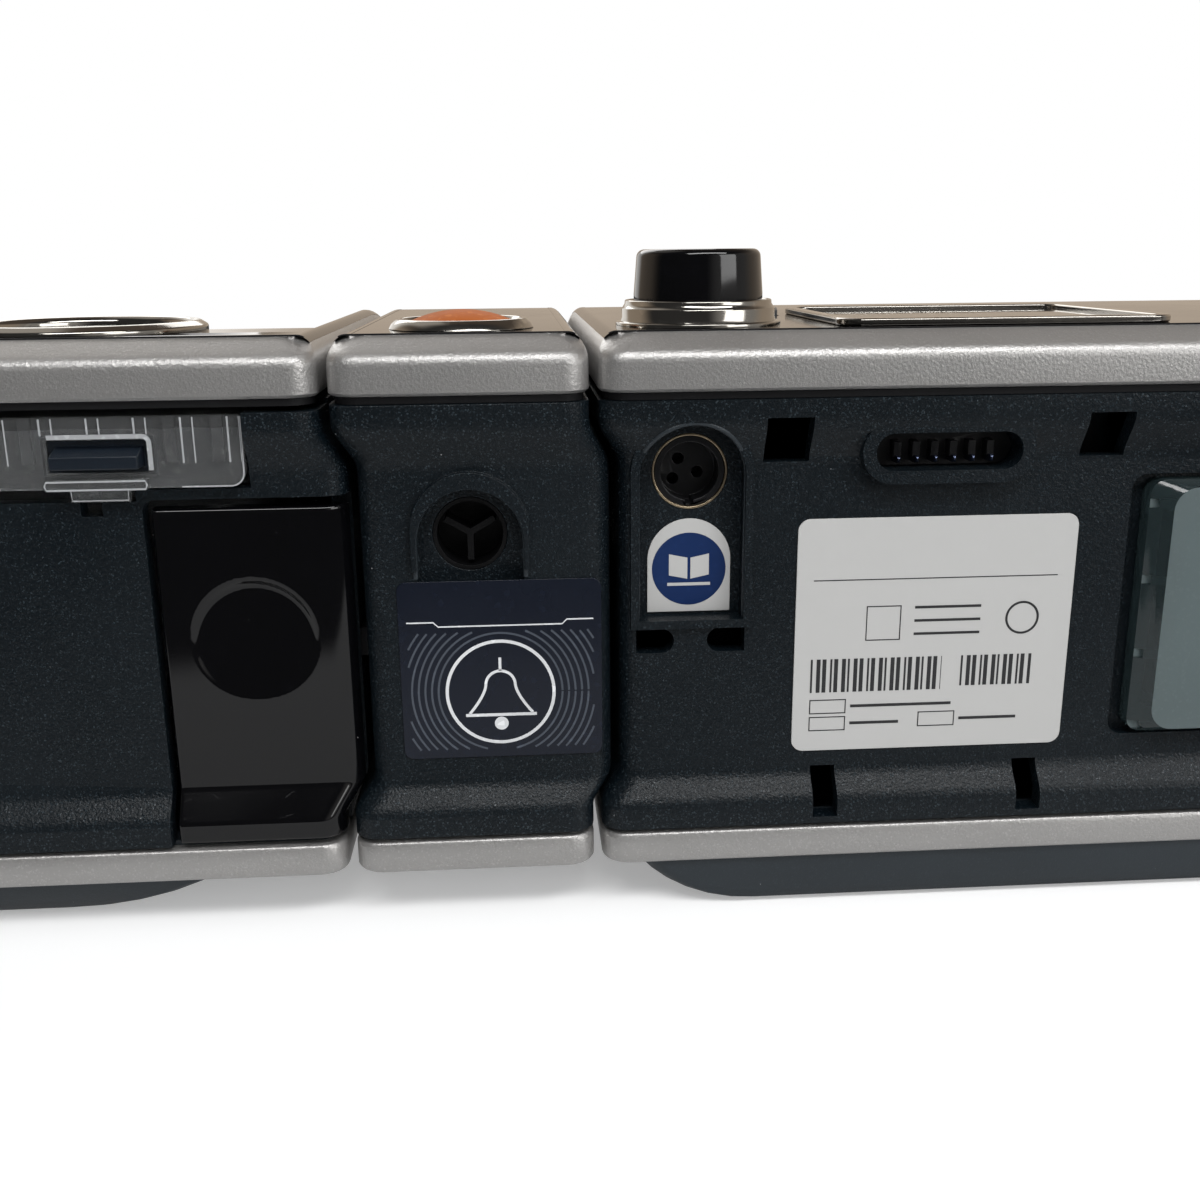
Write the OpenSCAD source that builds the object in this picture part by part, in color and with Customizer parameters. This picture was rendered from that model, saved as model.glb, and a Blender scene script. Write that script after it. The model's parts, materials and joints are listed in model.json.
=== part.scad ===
/* [Whole set] */
// Depth of every unit from front to rear
set_depth = 153; // [145:1:165]
// Width of the flow unit that carries the display
main_w = 140; // [136:1:160]
// Width of the slim alarm unit
alarm_w = 31.6; // [30:0.2:38]
// Width of the humidifier
humid_w = 145; // [140:1:165]
// Gap left between two docked units
dock_gap = 1.1; // [0.9:0.1:1.4]
// Corner radius of the units seen from above
corner_r = 3.2; // [3:0.1:4]
// Depth of the waist that runs round each housing
waist_in = 2.6; // [2:0.1:2.8]
// Thickness of the housing walls
wall = 2.6; // [2.4:0.1:3]

/* [Heights] */
// Height of the undersides of the bottom bands above the table
foot_h = 7.1; // [6.5:0.1:9]
// How far the rubber pads stand out below the feet
pad_out = 0.8; // [0.5:0.1:1.2]
// Height of the bottom bands
low_band_h = 4.6; // [4:0.1:5.5]
// Dark seam above the bottom bands
low_seam = 0.5; // [0.4:0.1:0.8]
// Height of the housings at the rear
body_h = 56.5; // [55:0.5:60]
// Dark seam under the top bands
top_seam = 1; // [0.8:0.1:1.2]
// Height of the outer face of the top bands
top_band_h = 5.5; // [5:0.1:6]
// Height that the top strip gains between its outer and inner edge
strip_rise = 1.5; // [1:0.1:1.6]
// Width of the silver strip round the top panels
strip_w = 4.2; // [4:0.1:4.5]
// Width of the rounded side edges of the top frames
side_w = 2.4; // [2:0.1:3]

/* [Top curve] */
// Length of the level part of the top, from the rear
flat_len = 75; // [68:1:80]
// Slope of the top at the front edge, in degrees
nose_angle = 50; // [44:1:52]
// How far the humidifier's top panel is dished
lid_dip = 3; // [1:0.1:3.2]
// Thickness of the glossy top panels
facia_t = 2; // [1.8:0.1:2.2]
// Narrow seam round a panel, key or lens that sits in an opening
seam = 0.25; // [0.2:0.05:0.35]

/* [Dial and keys] */
// Diameter of the dial
dial_d = 17; // [15:0.2:18]
// Height of the dial above its collar
dial_h = 6.4; // [6:0.1:8]
// Outer diameter of the chrome collar under the dial
collar_d = 21.9; // [21:0.1:24]
// Height of the chrome collar
collar_h = 3.3; // [3:0.1:3.6]
// Free gap between the dial and the chrome collar around it
collar_gap = 0.75; // [0.5:0.05:1]
// Distance of the dial's centre from the docking end
dial_in = 14.4; // [14:0.1:15]
// Distance of the dial's centre from the rear
dial_rear = 18.2; // [18:0.1:20]
// Diameter of the two menu keys
key_d = 9.6; // [8:0.2:10]
// Length of the start key
start_l = 20; // [18:0.5:22]
// Width of the start key
start_w = 9; // [8:0.5:10]
// Travel of the dial and of every key
press = 0.8; // [0.5:0.1:1]

/* [Display] */
// Width of the bright frame round the display
bezel_w = 44.5; // [42:0.5:50]
// Depth of that frame from front to rear
bezel_d = 38.5; // [34:0.5:42]
// Distance of the frame from the docking end
bezel_in = 31.6; // [31.4:0.1:40]
// Distance of the frame from the rear
bezel_rear = 8.6; // [8.4:0.1:20]
// Width of the bright rim itself
bezel_rim = 1.8; // [1.4:0.1:2.2]

/* [Rear of the flow unit] */
// Distance of the power socket from the docking end
inlet_in = 11.7; // [11.5:0.1:12.5]
// Height of the power socket's centre above the table
inlet_z = 59.2; // [59:0.1:59.6]
// Diameter of the plug barrel that the power socket takes
plug_d = 7.4; // [7:0.1:7.6]
// Width of the arched recess round the power socket
inlet_w = 13.4; // [13:0.1:14]
// Height of the lower end of that recess above the table
inlet_low = 40.4; // [40.2:0.1:42]
// Depth of the recess behind the waist
inlet_deep = 2.4; // [2:0.1:2.8]
// Side of the two square accessory holes
square_s = 5.8; // [5:0.1:6]
// Distance of the first square hole's centre from the docking end
square_in = 23.5; // [23.2:0.1:24.5]
// Distance between the two square holes
square_pitch = 40.6; // [40:0.1:41.4]
// Distance of the data port's centre from the docking end
port_in = 43.8; // [43:0.1:45]
// Outer width of the data port's raised rim
port_w = 22.1; // [21:0.1:23]
// Outer height of that rim
port_h = 8.1; // [7.8:0.1:8.4]
// Thickness of that rim
port_rim = 1.7; // [1.5:0.1:1.8]
// Height of the data port's centre above the table
port_z = 61.8; // [61.5:0.1:62.2]
// Width of the rating label
label_w = 36.7; // [34:0.1:38]
// Height of the rating label
label_h = 31.6; // [30:0.1:33]
// Width of the filter cover
cover_w = 48.4; // [44:0.2:50]
// Height of the filter cover
cover_h = 34.4; // [32:0.2:34.6]
// Distance of the filter cover from the docking end
cover_in = 71; // [70.6:0.1:72]

/* [Alarm unit] */
// Diameter of the chrome ring round the alarm lens
alarm_ring_d = 19; // [18:0.1:20]
// Diameter of the orange lens
lens_d = 14; // [13:0.1:15]
// Distance of the lens from the rear
lens_rear = 17.4; // [17:0.1:19]
// Height of the alarm unit's socket above the table
alarm_z = 51.8; // [51.2:0.1:52]
// Width of the arched recess round that socket
alarm_rec_w = 13.5; // [13:0.1:14]
// Diameter of the opening of that socket
alarm_hole_d = 8.4; // [8:0.1:9]
// Width of the alarm label
alarm_label_w = 25.9; // [24:0.1:26.4]
// Height of the alarm label
alarm_label_h = 23.9; // [22:0.1:24.4]

/* [Humidifier] */
// Diameter of the chrome ring on the lid
lid_ring_d = 31.7; // [28:0.1:33]
// Distance of the ring's centre from the docking end
lid_ring_in = 33.1; // [31:0.1:36]
// Distance of the ring's centre from the rear
lid_ring_rear = 22.6; // [22:0.1:24]
// Width of the release panel at the rear
panel_w = 21.2; // [20:0.2:21.4]
// Height of the release panel's upper edge above the table
panel_top = 56.2; // [54:0.1:56.2]
// Travel of the release panel
panel_press = 2; // [1.5:0.1:2.2]
// Diameter of the thumb dish in the release panel
dish_d = 16.5; // [15:0.1:17]
// Diameter of the taper that takes a breathing tube
tube_d = 22; // [22:0.1:22.4]
// Length of that taper
tube_len = 14; // [12:0.5:15]

/* [Air path] */
// Outer radius of the blower case
blower_r = 34; // [32:0.5:35]
// Radius of the impeller
impeller_r = 24; // [20:0.5:26]
// Number of impeller vanes
vane_n = 11; // [8:1:13]
// Bore radius of the ducts between the units
duct_r = 9; // [8:0.1:9.5]

/* [Hidden] */

// Ends of the three units along X, seen from above
set_w = main_w + alarm_w + humid_w + 2 * dock_gap;
main_x0 = -set_w / 2;
main_x1 = main_x0 + main_w;
alarm_x0 = main_x1 + dock_gap;
alarm_x1 = alarm_x0 + alarm_w;
humid_x0 = alarm_x1 + dock_gap;
humid_x1 = humid_x0 + humid_w;
rear_y = set_depth / 2;
front_y = -rear_y;

// Levels above the table at the rear
low_z = foot_h;
body_z = low_z + low_band_h + low_seam;
body_top = body_z + body_h;
band_z = body_top + top_seam;
face_z = band_z + top_band_h + strip_rise;
facia_low = face_z - facia_t;

// Waist: straight strips at both ends and soft steps between
low_strip = 2.8;
low_step = 4.4;
top_strip = 2.2;
top_step = 6.4;
waist_y = rear_y - waist_in;

// Top curve: level at the rear, then an arc that reaches nose_angle at the front
bend_y = rear_y - flat_len;
curve_r = (bend_y - front_y) / sin(nose_angle);
function fall(y) =
    y >= bend_y ? 0 : curve_r - sqrt(pow(curve_r, 2) - pow(bend_y - max(y, front_y), 2));
function ease(t) = t <= 0 ? 0 : t >= 1 ? 1 : (1 - cos(180 * t)) / 2;

// Points of an arc in the plane
function arc(x, y, r, a0, a1, n) =
    [for (i = [0:n]) let (a = a0 + (a1 - a0) * i / n) [x + r * cos(a), y + r * sin(a)]];

// Outline of a unit from above, anticlockwise, with stations along the curved front half
side_n = 12;
corner_n = 6;
function side_ys(y0) = [for (k = [1:side_n]) y0 + (bend_y - y0) * k / side_n];
function outline(x0, x1, y0, y1, r) = let (ys = side_ys(y0 + r)) concat(
    arc(x1 - r, y0 + r, r, -90, 0, corner_n),
    [for (y = ys) [x1, y]],
    arc(x1 - r, y1 - r, r, 0, 90, corner_n),
    arc(x0 + r, y1 - r, r, 90, 180, corner_n),
    [for (k = [side_n - 1:-1:0]) [x0, ys[k]]],
    arc(x0 + r, y0 + r, r, 180, 270, corner_n)
);
function inset_outline(x0, x1, in, r = 0.8) =
    outline(x0 + in, x1 - in, front_y + in, rear_y - in, r);

// Closed ring round a unit. Each step holds the inset at the low and high X end,
// the inset at front and rear, the height, 1 if that height follows the top curve,
// and the corner radius.
module swept_ring(x0, x1, steps) {
    rings = [for (s = steps)
        [for (p = outline(x0 + s[0], x1 - s[1], front_y + s[2], rear_y - s[2], s[5]))
            [p[0], p[1], s[3] - s[4] * fall(p[1])]]];
    n = len(rings[0]);
    m = len(rings);
    polyhedron(
        points = [for (ring = rings) each ring],
        faces = [for (j = [0:m - 1]) for (i = [0:n - 1])
            let (a = j * n + i, b = j * n + (i + 1) % n)
            let (c = ((j + 1) % m) * n + i, d = ((j + 1) % m) * n + (i + 1) % n)
            each [[a, c, d], [a, d, b]]],
        convexity = 6);
}

// Solid block round a unit's outline, from its first step up to its last
module swept_block(x0, x1, steps) {
    rings = [for (s = steps)
        [for (p = outline(x0 + s[0], x1 - s[1], front_y + s[2], rear_y - s[2], s[4]))
            [p[0], p[1], s[3]]]];
    n = len(rings[0]);
    m = len(rings);
    polyhedron(
        points = [for (ring = rings) each ring],
        faces = concat(
            [for (j = [0:m - 2]) for (i = [0:n - 1])
                let (a = j * n + i, b = j * n + (i + 1) % n, c = a + n, d = b + n)
                each [[a, c, d], [a, d, b]]],
            [[for (i = [0:n - 1]) i]],
            [[for (i = [n - 1:-1:0]) (m - 1) * n + i]]),
        convexity = 4);
}

// Wall of a housing. Its waist is cut in at the rear, and at the two ends it goes in (1)
// or out (-1), so that docked units nest.
step_n = 6;
function housing_steps(s0, s1, lip_gap) = concat(
    [[0, 0, 0, body_z, 0, corner_r]],
    [for (k = [0:step_n]) let (w = waist_in * ease(k / step_n))
        [s0 * w, s1 * w, w, body_z + low_strip + low_step * k / step_n, 0, corner_r]],
    [for (k = [step_n:-1:0]) let (w = waist_in * ease(k / step_n))
        [s0 * w, s1 * w, w, body_top - top_strip - top_step * k / step_n, 1, corner_r]],
    [[0, 0, 0, body_top, 1, corner_r],
     [lip_in, lip_in, lip_in, body_top, 1, corner_r - lip_in],
     [lip_in, lip_in, lip_in, band_z - lip_gap, 1, corner_r - lip_in],
     [wall, wall, wall, band_z - lip_gap, 1, inner_r]],
    [for (k = [0:step_n]) let (w = waist_in * ease(k / step_n))
        [wall + s0 * w, wall + s1 * w, wall + w,
            body_top - top_strip - top_step * k / step_n, 1, inner_r]],
    [for (k = [step_n:-1:0]) let (w = waist_in * ease(k / step_n))
        [wall + s0 * w, wall + s1 * w, wall + w,
            body_z + low_strip + low_step * k / step_n, 0, inner_r]],
    [[wall, wall, wall, body_z, 0, inner_r]]
);
lip_in = 1;
inner_r = 0.6;

// Silver ring round a top panel: a round outer edge runs on into the sloping strip, and
// a ledge inside it carries the panel
edge_r = 2;
edge_rise = strip_rise + edge_r;
edge_run = strip_w - edge_r;
edge_end = asin(edge_r / norm([edge_rise, edge_run])) + atan2(edge_run, edge_rise);
ledge_w = 2.2;
ledge_t = 1.8;
// Adhesive bed under what is stuck or laid on another piece
bed = 0.15;
ledge_z = facia_low - bed;
edge_n = 5;
edge_z = face_z - edge_rise;
edge_in = edge_r * (1 - cos(edge_end));
edge_h = edge_r * sin(edge_end);
// Steps up the edge and the strip: inset at the rear, and height over the edge's start
slope_n = 6;
slope_a = asin(edge_h / edge_rise);
function edge_steps() = concat(
    [for (k = [0:edge_n]) let (a = edge_end * k / edge_n) [edge_r * (1 - cos(a)), edge_r * sin(a)]],
    [for (k = [1:slope_n - 1]) let (h = edge_rise * sin(slope_a + (90 - slope_a) * k / slope_n))
        [edge_in + (strip_w - edge_in) * (h - edge_h) / (edge_rise - edge_h), h]]);
// At the two sides there is no strip: the frame is rounded right up to the panel
function side_in(h) = side_w * (1 - sqrt(1 - pow(h / edge_rise, 2)));
panel_r = 2;
module top_frame(x0, x1, dip = 0) {
    seat = ledge_z - dip;
    swept_ring(x0, x1, concat(
        [[0.4, 0.4, 0.4, band_z, 1, corner_r], [0, 0, 0, band_z + 0.4, 1, corner_r]],
        [for (p = edge_steps()) let (s = side_in(p[1])) [s, s, p[0], edge_z + p[1], 1, corner_r]],
        [for (p = [[0, face_z, panel_r], [0, seat, panel_r], [ledge_w, seat, 0.8],
                [ledge_w, seat - ledge_t, 0.8], [0, band_z, 0.8]])
            [side_w + p[0], side_w + p[0], strip_w + p[0], p[1], 1, p[2]]]));
}

// Silver band round the foot of a unit
band_w = 2;
module low_band(x0, x1) {
    e = 0.8;
    swept_ring(x0, x1, [
        [e, e, e, low_z, 0, corner_r],
        [e * 0.3, e * 0.3, e * 0.3, low_z + e * 0.3, 0, corner_r],
        [0, 0, 0, low_z + e, 0, corner_r],
        [0, 0, 0, low_z + low_band_h - e, 0, corner_r],
        [e * 0.3, e * 0.3, e * 0.3, low_z + low_band_h - e * 0.3, 0, corner_r],
        [e, e, e, low_z + low_band_h, 0, corner_r],
        [band_w, band_w, band_w, low_z + low_band_h, 0, corner_r - band_w],
        [band_w, band_w, band_w, low_z, 0, corner_r - band_w]]);
}

// Floor tray of a unit: a plate with a rim that the housing stands on
tray_t = 2.2;
rim_w = 3;
tray_z = low_z + tray_t;
module floor_tray(x0, x1) {
    difference() {
        translate([0, 0, low_z]) linear_extrude(body_z - low_z)
            polygon(inset_outline(x0, x1, band_w, corner_r - band_w));
        translate([0, 0, tray_z]) linear_extrude(body_z)
            polygon(inset_outline(x0, x1, band_w + rim_w));
        children();
    }
}

// Strip in the plane of depth and height that follows the top curve between two levels
curve_n = 16;
function curve_ys() = [for (k = [0:curve_n]) bend_y + (front_y - bend_y) * k / curve_n];
flat_n = 10;
function plate_ys(dip) = concat(
    dip > 0 ? [for (k = [0:flat_n - 1]) rear_y - flat_len * k / flat_n] : [rear_y],
    curve_ys());
module curved_plate(x0, x1, low, high, dip = 0, low_dip = 0) {
    ys = plate_ys(dip);
    top = [for (y = ys) [y, high - fall(y) - dip * dish(y)]];
    under = [for (y = ys) [y, low - fall(y) - low_dip * dish(y)]];
    translate([x0, 0, 0]) rotate([90, 0, 90]) linear_extrude(x1 - x0)
        polygon(concat(top, [for (k = [len(under) - 1:-1:0]) under[k]]));
}
// The dish of the humidifier's panel starts near the rear and fades out at the front
dish_start = 10;
dish_run = 45;
dish_fade = 40;
function dish(y) =
    ease((rear_y - dish_start - y) / dish_run) * ease((y - front_y - strip_w) / dish_fade);

// Stadium and arch outlines for rims, keys and recesses
module stadium(w, h) {
    square([w - h, h], center = true);
    for (s = [-1, 1]) translate([s * (w - h) / 2, 0]) circle(h / 2, $fn = 48);
}
module arch(w, low, top) {
    translate([-w / 2, low]) square([w, top - w / 2 - low]);
    translate([0, top - w / 2]) circle(w / 2, $fn = 64);
}
// Extrudes an outline drawn in X and height towards the front, from a given depth
module from_rear(y, t) {
    translate([0, y, 0]) rotate([90, 0, 0]) linear_extrude(t) children();
}

// Boss under which a base screw holds tray and housing together
screw_in = 9;
boss_r = 3.4;
boss_top = body_z + 11;
screw_r = 1.4;
screw_len = 12;
head_r = 2.6;
head_t = 1.2;
function screw_spots(x0, x1, first = screw_in) =
    [for (x = [x0 + first, x1 - screw_in]) for (s = [-1, 1]) [x, s * (rear_y - screw_in)]];
module bosses(x0, x1, first = screw_in) {
    for (p = screw_spots(x0, x1, first)) {
        translate([p[0], p[1], tray_z]) cylinder(h = boss_top - tray_z, r = boss_r, $fn = 32);
        reach = rear_y - waist_in - wall / 2 - abs(p[1]);
        translate([p[0] - 1.5, p[1] > 0 ? p[1] : p[1] - reach, boss_top - 5]) cube([3, reach, 5]);
    }
}
module boss_bores(x0, x1, first = screw_in) {
    for (p = screw_spots(x0, x1, first))
        translate([p[0], p[1], low_z - 1]) cylinder(h = screw_len + 2, r = screw_r + 0.05, $fn = 32);
}
module tray_bores(x0, x1, first = screw_in) {
    for (p = screw_spots(x0, x1, first)) translate([p[0], p[1], 0]) {
        translate([0, 0, low_z - 1]) cylinder(h = head_t + 1.1, r = head_r + 0.2, $fn = 32);
        translate([0, 0, low_z]) cylinder(h = body_z, r = screw_r + 0.1, $fn = 32);
    }
}

// Boat-shaped foot: its ends curve down from the tray to a flat underside
foot_n = 6;
foot_a = 40;
module boat_foot(x0, x1, end0, end1, in, side) {
    swept_block(x0, x1, [for (k = [foot_n:-1:0])
        let (a = foot_a + (90 - foot_a) * k / foot_n, run = 1 - cos(a) / cos(foot_a))
        [end0 * run, end1 * run, in + side * run,
            low_z - (low_z - pad_out) * (sin(a) - sin(foot_a)) / (1 - sin(foot_a)), corner_r]]);
}
pad_r = 6.5;
pad_t = 1.6;
main_foot_in = 4.6;
main_foot_end = 13;
humid_foot_in = 15.6;
humid_foot_end = 24;
humid_pad_in = 32.4;
humid_foot_x0 = humid_x0 + humid_foot_in;
humid_foot_x1 = humid_x1 - main_foot_in;
pad_in = 24;
function pad_spots(x0, x1) =
    [for (x = [x0 + pad_in, x1 - pad_in]) for (s = [-1, 1]) [x, s * (rear_y - 20)]];
module pad_seats(x0, x1) {
    for (p = pad_spots(x0, x1))
        translate([p[0], p[1], -1]) cylinder(h = pad_t + 1, r = pad_r + 0.05, $fn = 48);
}
module foot_holes(x0, x1) {
    for (p = screw_spots(x0, x1))
        translate([p[0], p[1], -1]) cylinder(h = low_z + 2, r = head_r + 0.4, $fn = 32);
}
slate = [0.17, 0.19, 0.21];
silver = [0.66, 0.65, 0.63];
charcoal = [0.15, 0.18, 0.2];
gloss = [0.03, 0.03, 0.035];
chrome = [0.8, 0.8, 0.82];

// Flow unit, from the table upwards
module main_foot() {
    color(slate) difference() {
        boat_foot(main_x0 + main_foot_in, main_x1 - main_foot_in, main_foot_end, main_foot_end,
            0.9, 0.6);
        pad_seats(main_x0, main_x1);
        foot_holes(main_x0, main_x1);
    }
}

// Posts on the tray carry the circuit board
board_z = body_top - 2.3;
board_t = 1.6;
board_top = board_z + board_t;
board_x0 = main_x0 + 8;
board_x1 = main_x1 - 6.8;
board_reach = 22;
board_y0 = bend_y - board_reach;
board_y1 = rear_y - 7.2;
post_r = 3;
function post_spots() = [
    [cover_x + box_w / 2 + box_wall + post_r + 1, board_y1 - 9], [board_x1 - 13, dial_y - 8],
    [board_x0 + 4, board_y0 + 6], [board_x1 - 6, board_y0 + 6]];
module main_tray() {
    color(slate) {
        floor_tray(main_x0, main_x1) tray_bores(main_x0, main_x1);
        for (p = post_spots()) translate([p[0], p[1], low_z + 1])
            cylinder(h = board_z - low_z - 1, r = post_r, $fn = 32);
    }
}
module main_band() {
    color(silver) low_band(main_x0, main_x1);
}

// Power inlet: an arched recess with a low lip round it
inlet_x = main_x1 - inlet_in;
inlet_top = inlet_z + inlet_w / 2 - 0.2;
lip_w = 1.1;
lip_top = 1.4;
lip_out = 0.8;
pocket_y = waist_y - inlet_deep;
floor_t = 1.8;
socket_r = 4.85;
socket_len = 8;
port_x = main_x1 - port_in;
port_y = rear_y - 0.6;
port_deep = 4;
square_z = body_top - 5.2;
slot_w = 3.3;
slot_h = 6.3;
slot_in = [29.7, 57.4];
drain_w = 4.9;
drain_h = 3.2;
drain_low = 2.9;
drain_pitch = 9.2;
grille_n = 5;
grille_pitch = 8;
grille_w = 4.4;
cover_x = main_x1 - cover_in - cover_w / 2;
cover_z = 40.2;
cover_lap = 2.8;
box_w = cover_w - 2 * cover_lap;
box_h = cover_h - 2 * cover_lap;
box_wall = 1.6;
nest_side = 2.3;
nest_low = 0.5;
nest_top = 0.7;
nest_deep = 2;
box_y = waist_y - 14.5;
card_w = 24;
card_l = 32;
card_t = 2.1;
card_gap = 0.35;
reader_wall = 1.4;
card_y = box_y - 0.5 - reader_wall - card_w / 2;
card_z = 44;
outlet_y = -34;
outlet_z = 38;
main_waist_x = main_x1 - waist_in;
module main_shell() {
    color(charcoal) difference() {
        union() {
            swept_ring(main_x0, main_x1, housing_steps(1, 1, bed));
            translate([inlet_x, 0, 0]) from_rear(waist_y + lip_out, inlet_deep + floor_t + lip_out)
                arch(inlet_w + 2 * lip_w, inlet_low - lip_w, inlet_top + lip_top);
            translate([port_x, 0, port_z]) from_rear(port_y, port_y - waist_y + wall)
                stadium(port_w, port_h);
            translate([cover_x - box_w / 2 - box_wall, box_y, cover_z - box_h / 2 - box_wall])
                cube([box_w + 2 * box_wall, waist_y - 1 - box_y, box_h + 2 * box_wall]);
            from_rear(waist_y - 0.5, nest_deep + floor_t - 0.5) nest(floor_t);
            bosses(main_x0, main_x1);
        }
        boss_bores(main_x0, main_x1);
        from_rear(rear_y + 1, waist_in + 1 + nest_deep) nest(0);
        translate([inlet_x, 0, 0]) from_rear(rear_y + 1, rear_y + 1 - pocket_y)
            arch(inlet_w, inlet_low, inlet_top);
        translate([inlet_x, 0, inlet_z]) rotate([-90, 0, 0])
            cylinder(h = rear_y, r = socket_r + 0.05, $fn = 48);
        for (s = [-1, 1]) translate([inlet_x + s * drain_pitch / 2, 0, inlet_low - drain_low])
            from_rear(rear_y, 8) drain_hole(s);
        translate([port_x, 0, port_z]) from_rear(port_y + 1, port_y + 1 - waist_y + wall + 1)
            stadium(port_w - 2 * port_rim, port_h - 2 * port_rim);
        for (k = [0, 1]) translate([main_x1 - square_in - k * square_pitch, waist_y, square_z])
            cube([square_s, 14, square_s], center = true);
        for (d = slot_in) translate([main_x1 - d - slot_w / 2, waist_y - wall - 1, body_z + 0.9])
            cube([slot_w, wall + waist_in + 2, slot_h]);
        translate([cover_x - box_w / 2, box_y + box_wall, cover_z - box_h / 2])
            cube([box_w, rear_y, box_h]);
        for (k = [0:grille_n - 1])
            translate([cover_x + (k - (grille_n - 1) / 2) * grille_pitch, box_y, cover_z])
                cube([grille_w, 2 * box_wall + 2, box_h - grille_pitch], center = true);
        translate([main_x0 - 1, card_y - card_w / 2 - card_gap, card_z - card_t / 2 - card_gap])
            cube([8, card_w + 2 * card_gap, card_t + 2 * card_gap]);
        translate([main_waist_x - wall - 1, outlet_y, outlet_z]) rotate([0, 90, 0])
            cylinder(h = wall + waist_in + 2, r = duct_r + duct_wall + 0.05, $fn = 64);
    }
}
// Outline of the recess in which the filter cover sits
module nest(grow) {
    translate([cover_x, cover_z + (nest_top - nest_low) / 2])
        rounded(cover_w + 2 * (nest_side + grow), cover_h + nest_low + nest_top + 2 * grow, 2 + grow);
}
// Drain slot with a square outer end and a round inner end
module drain_hole(side) {
    r = drain_h / 2;
    translate([side * (r - drain_w / 2), 0]) circle(r, $fn = 32);
    translate([side * r / 2, 0]) square([drain_w - r, drain_h], center = true);
}
duct_wall = 1.5;

module main_frame() {
    color(silver) top_frame(main_x0, main_x1);
}

// Places of dial, keys and display on the top panel
dial_x = main_x1 - dial_in;
dial_y = rear_y - dial_rear;
dial_r = dial_d / 2;
key_row = 22;
key_y = dial_y - key_row;
key_xs = [dial_x + 1.8, dial_x - 10.4];
start_x = dial_x - 5;
start_row = 16;
start_y = key_y - start_row;
bezel_x = main_x1 - bezel_in - bezel_w / 2;
bezel_y = rear_y - bezel_rear - bezel_d / 2;
bezel_h = 1;
bezel_lap = 0.6;
bezel_r = 4;
stem_r = 3;
module rounded(w, d, r) {
    for (s = [-1, 1]) for (t = [-1, 1])
        translate([s * (w / 2 - r), t * (d / 2 - r)]) circle(r, $fn = 32);
    square([w - 2 * r, d], center = true);
    square([w, d - 2 * r], center = true);
}
module panel_plate(x0, x1, dip = 0) {
    intersection() {
        curved_plate(x0, x1, facia_low - dip, face_z, dip);
        linear_extrude(face_z + 10)
            polygon(outline(x0 + side_w + seam, x1 - side_w - seam,
                front_y + strip_w + seam, rear_y - strip_w - seam, panel_r - seam));
    }
}
module main_facia() {
    color(gloss) difference() {
        panel_plate(main_x0, main_x1);
        translate([bezel_x, bezel_y, facia_low - 1]) linear_extrude(facia_t + 2)
            rounded(bezel_w - 2 * bezel_lap, bezel_d - 2 * bezel_lap, bezel_r - bezel_lap);
        translate([dial_x, dial_y, facia_low - 1])
            cylinder(h = facia_t + 2, r = stem_r + 0.4, $fn = 48);
        for (x = key_xs) translate([x, key_y, facia_low - 1])
            cylinder(h = facia_t + 2, r = key_d / 2 + seam, $fn = 48);
        translate([start_x, start_y, facia_low - 1]) linear_extrude(facia_t + 2)
            stadium(start_l + 2 * seam, start_w + 2 * seam);
    }
}

// Display: bright frame, clear window and the panel under it
window_t = 1.2;
window_z = face_z + 0.4 - window_t;
module lcd_bezel() {
    color(chrome) translate([bezel_x, bezel_y, 0]) difference() {
        union() {
            translate([0, 0, face_z]) linear_extrude(bezel_h) rounded(bezel_w, bezel_d, bezel_r);
            translate([0, 0, facia_low]) linear_extrude(facia_t + 0.2)
                rounded(bezel_w - 2 * bezel_lap - 0.1, bezel_d - 2 * bezel_lap - 0.1, bezel_r - bezel_lap);
        }
        translate([0, 0, facia_low - 1]) linear_extrude(facia_t + bezel_h + 2)
            rounded(bezel_w - 2 * bezel_rim, bezel_d - 2 * bezel_rim, bezel_r - bezel_rim);
    }
}
module lcd_window() {
    color([0.1, 0.12, 0.14, 0.6]) translate([bezel_x, bezel_y, window_z]) linear_extrude(window_t)
        rounded(bezel_w - 2 * bezel_rim - 0.1, bezel_d - 2 * bezel_rim - 0.1, bezel_r - bezel_rim);
}
module lcd_panel() {
    color([0.12, 0.16, 0.2]) translate([bezel_x, bezel_y, board_top]) linear_extrude(window_z - board_top)
        rounded(bezel_w - 2 * bezel_rim - 0.6, bezel_d - 2 * bezel_rim - 0.6, bezel_r - bezel_rim);
}

// Dial: chrome collar on the panel, knob, the push rod that it turns on, and its encoder
collar_bore = dial_r + collar_gap;
knob_low = face_z + press + 0.4;
knob_top = face_z + collar_h + dial_h;
knob_taper = 0.35;
encoder_s = 11;
encoder_top = facia_low - 1.2;
plunger_z = board_top + press + 0.3;
plunger_in = 5;
module dial_collar() {
    color(chrome) translate([dial_x, dial_y, face_z]) rotate_extrude($fn = 96)
        polygon([[collar_bore, 0], [collar_d / 2, 0], [collar_d / 2, 0.5],
            [collar_d / 2 - 0.9, 1.1], [collar_bore + 0.7, collar_h], [collar_bore, collar_h]]);
}
module dial_knob() {
    color(gloss) translate([dial_x, dial_y, 0]) rotate_extrude($fn = 96) polygon(concat(
        [[dial_r, knob_low], [dial_r, knob_low + 3]],
        [for (a = [0:15:90]) [dial_r - 1 - knob_taper + cos(a), knob_top - 1 + sin(a)]],
        [[dial_r - 3, knob_top - 0.4], [0, knob_top - 0.7], [0, knob_low + plunger_in + 0.3],
            [stem_r + 0.05, knob_low + plunger_in + 0.3], [stem_r + 0.05, knob_low]]));
}
module dial_plunger() {
    color("white") translate([dial_x, dial_y, plunger_z])
        cylinder(h = knob_low + plunger_in - plunger_z, r = stem_r, $fn = 48);
}
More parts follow.
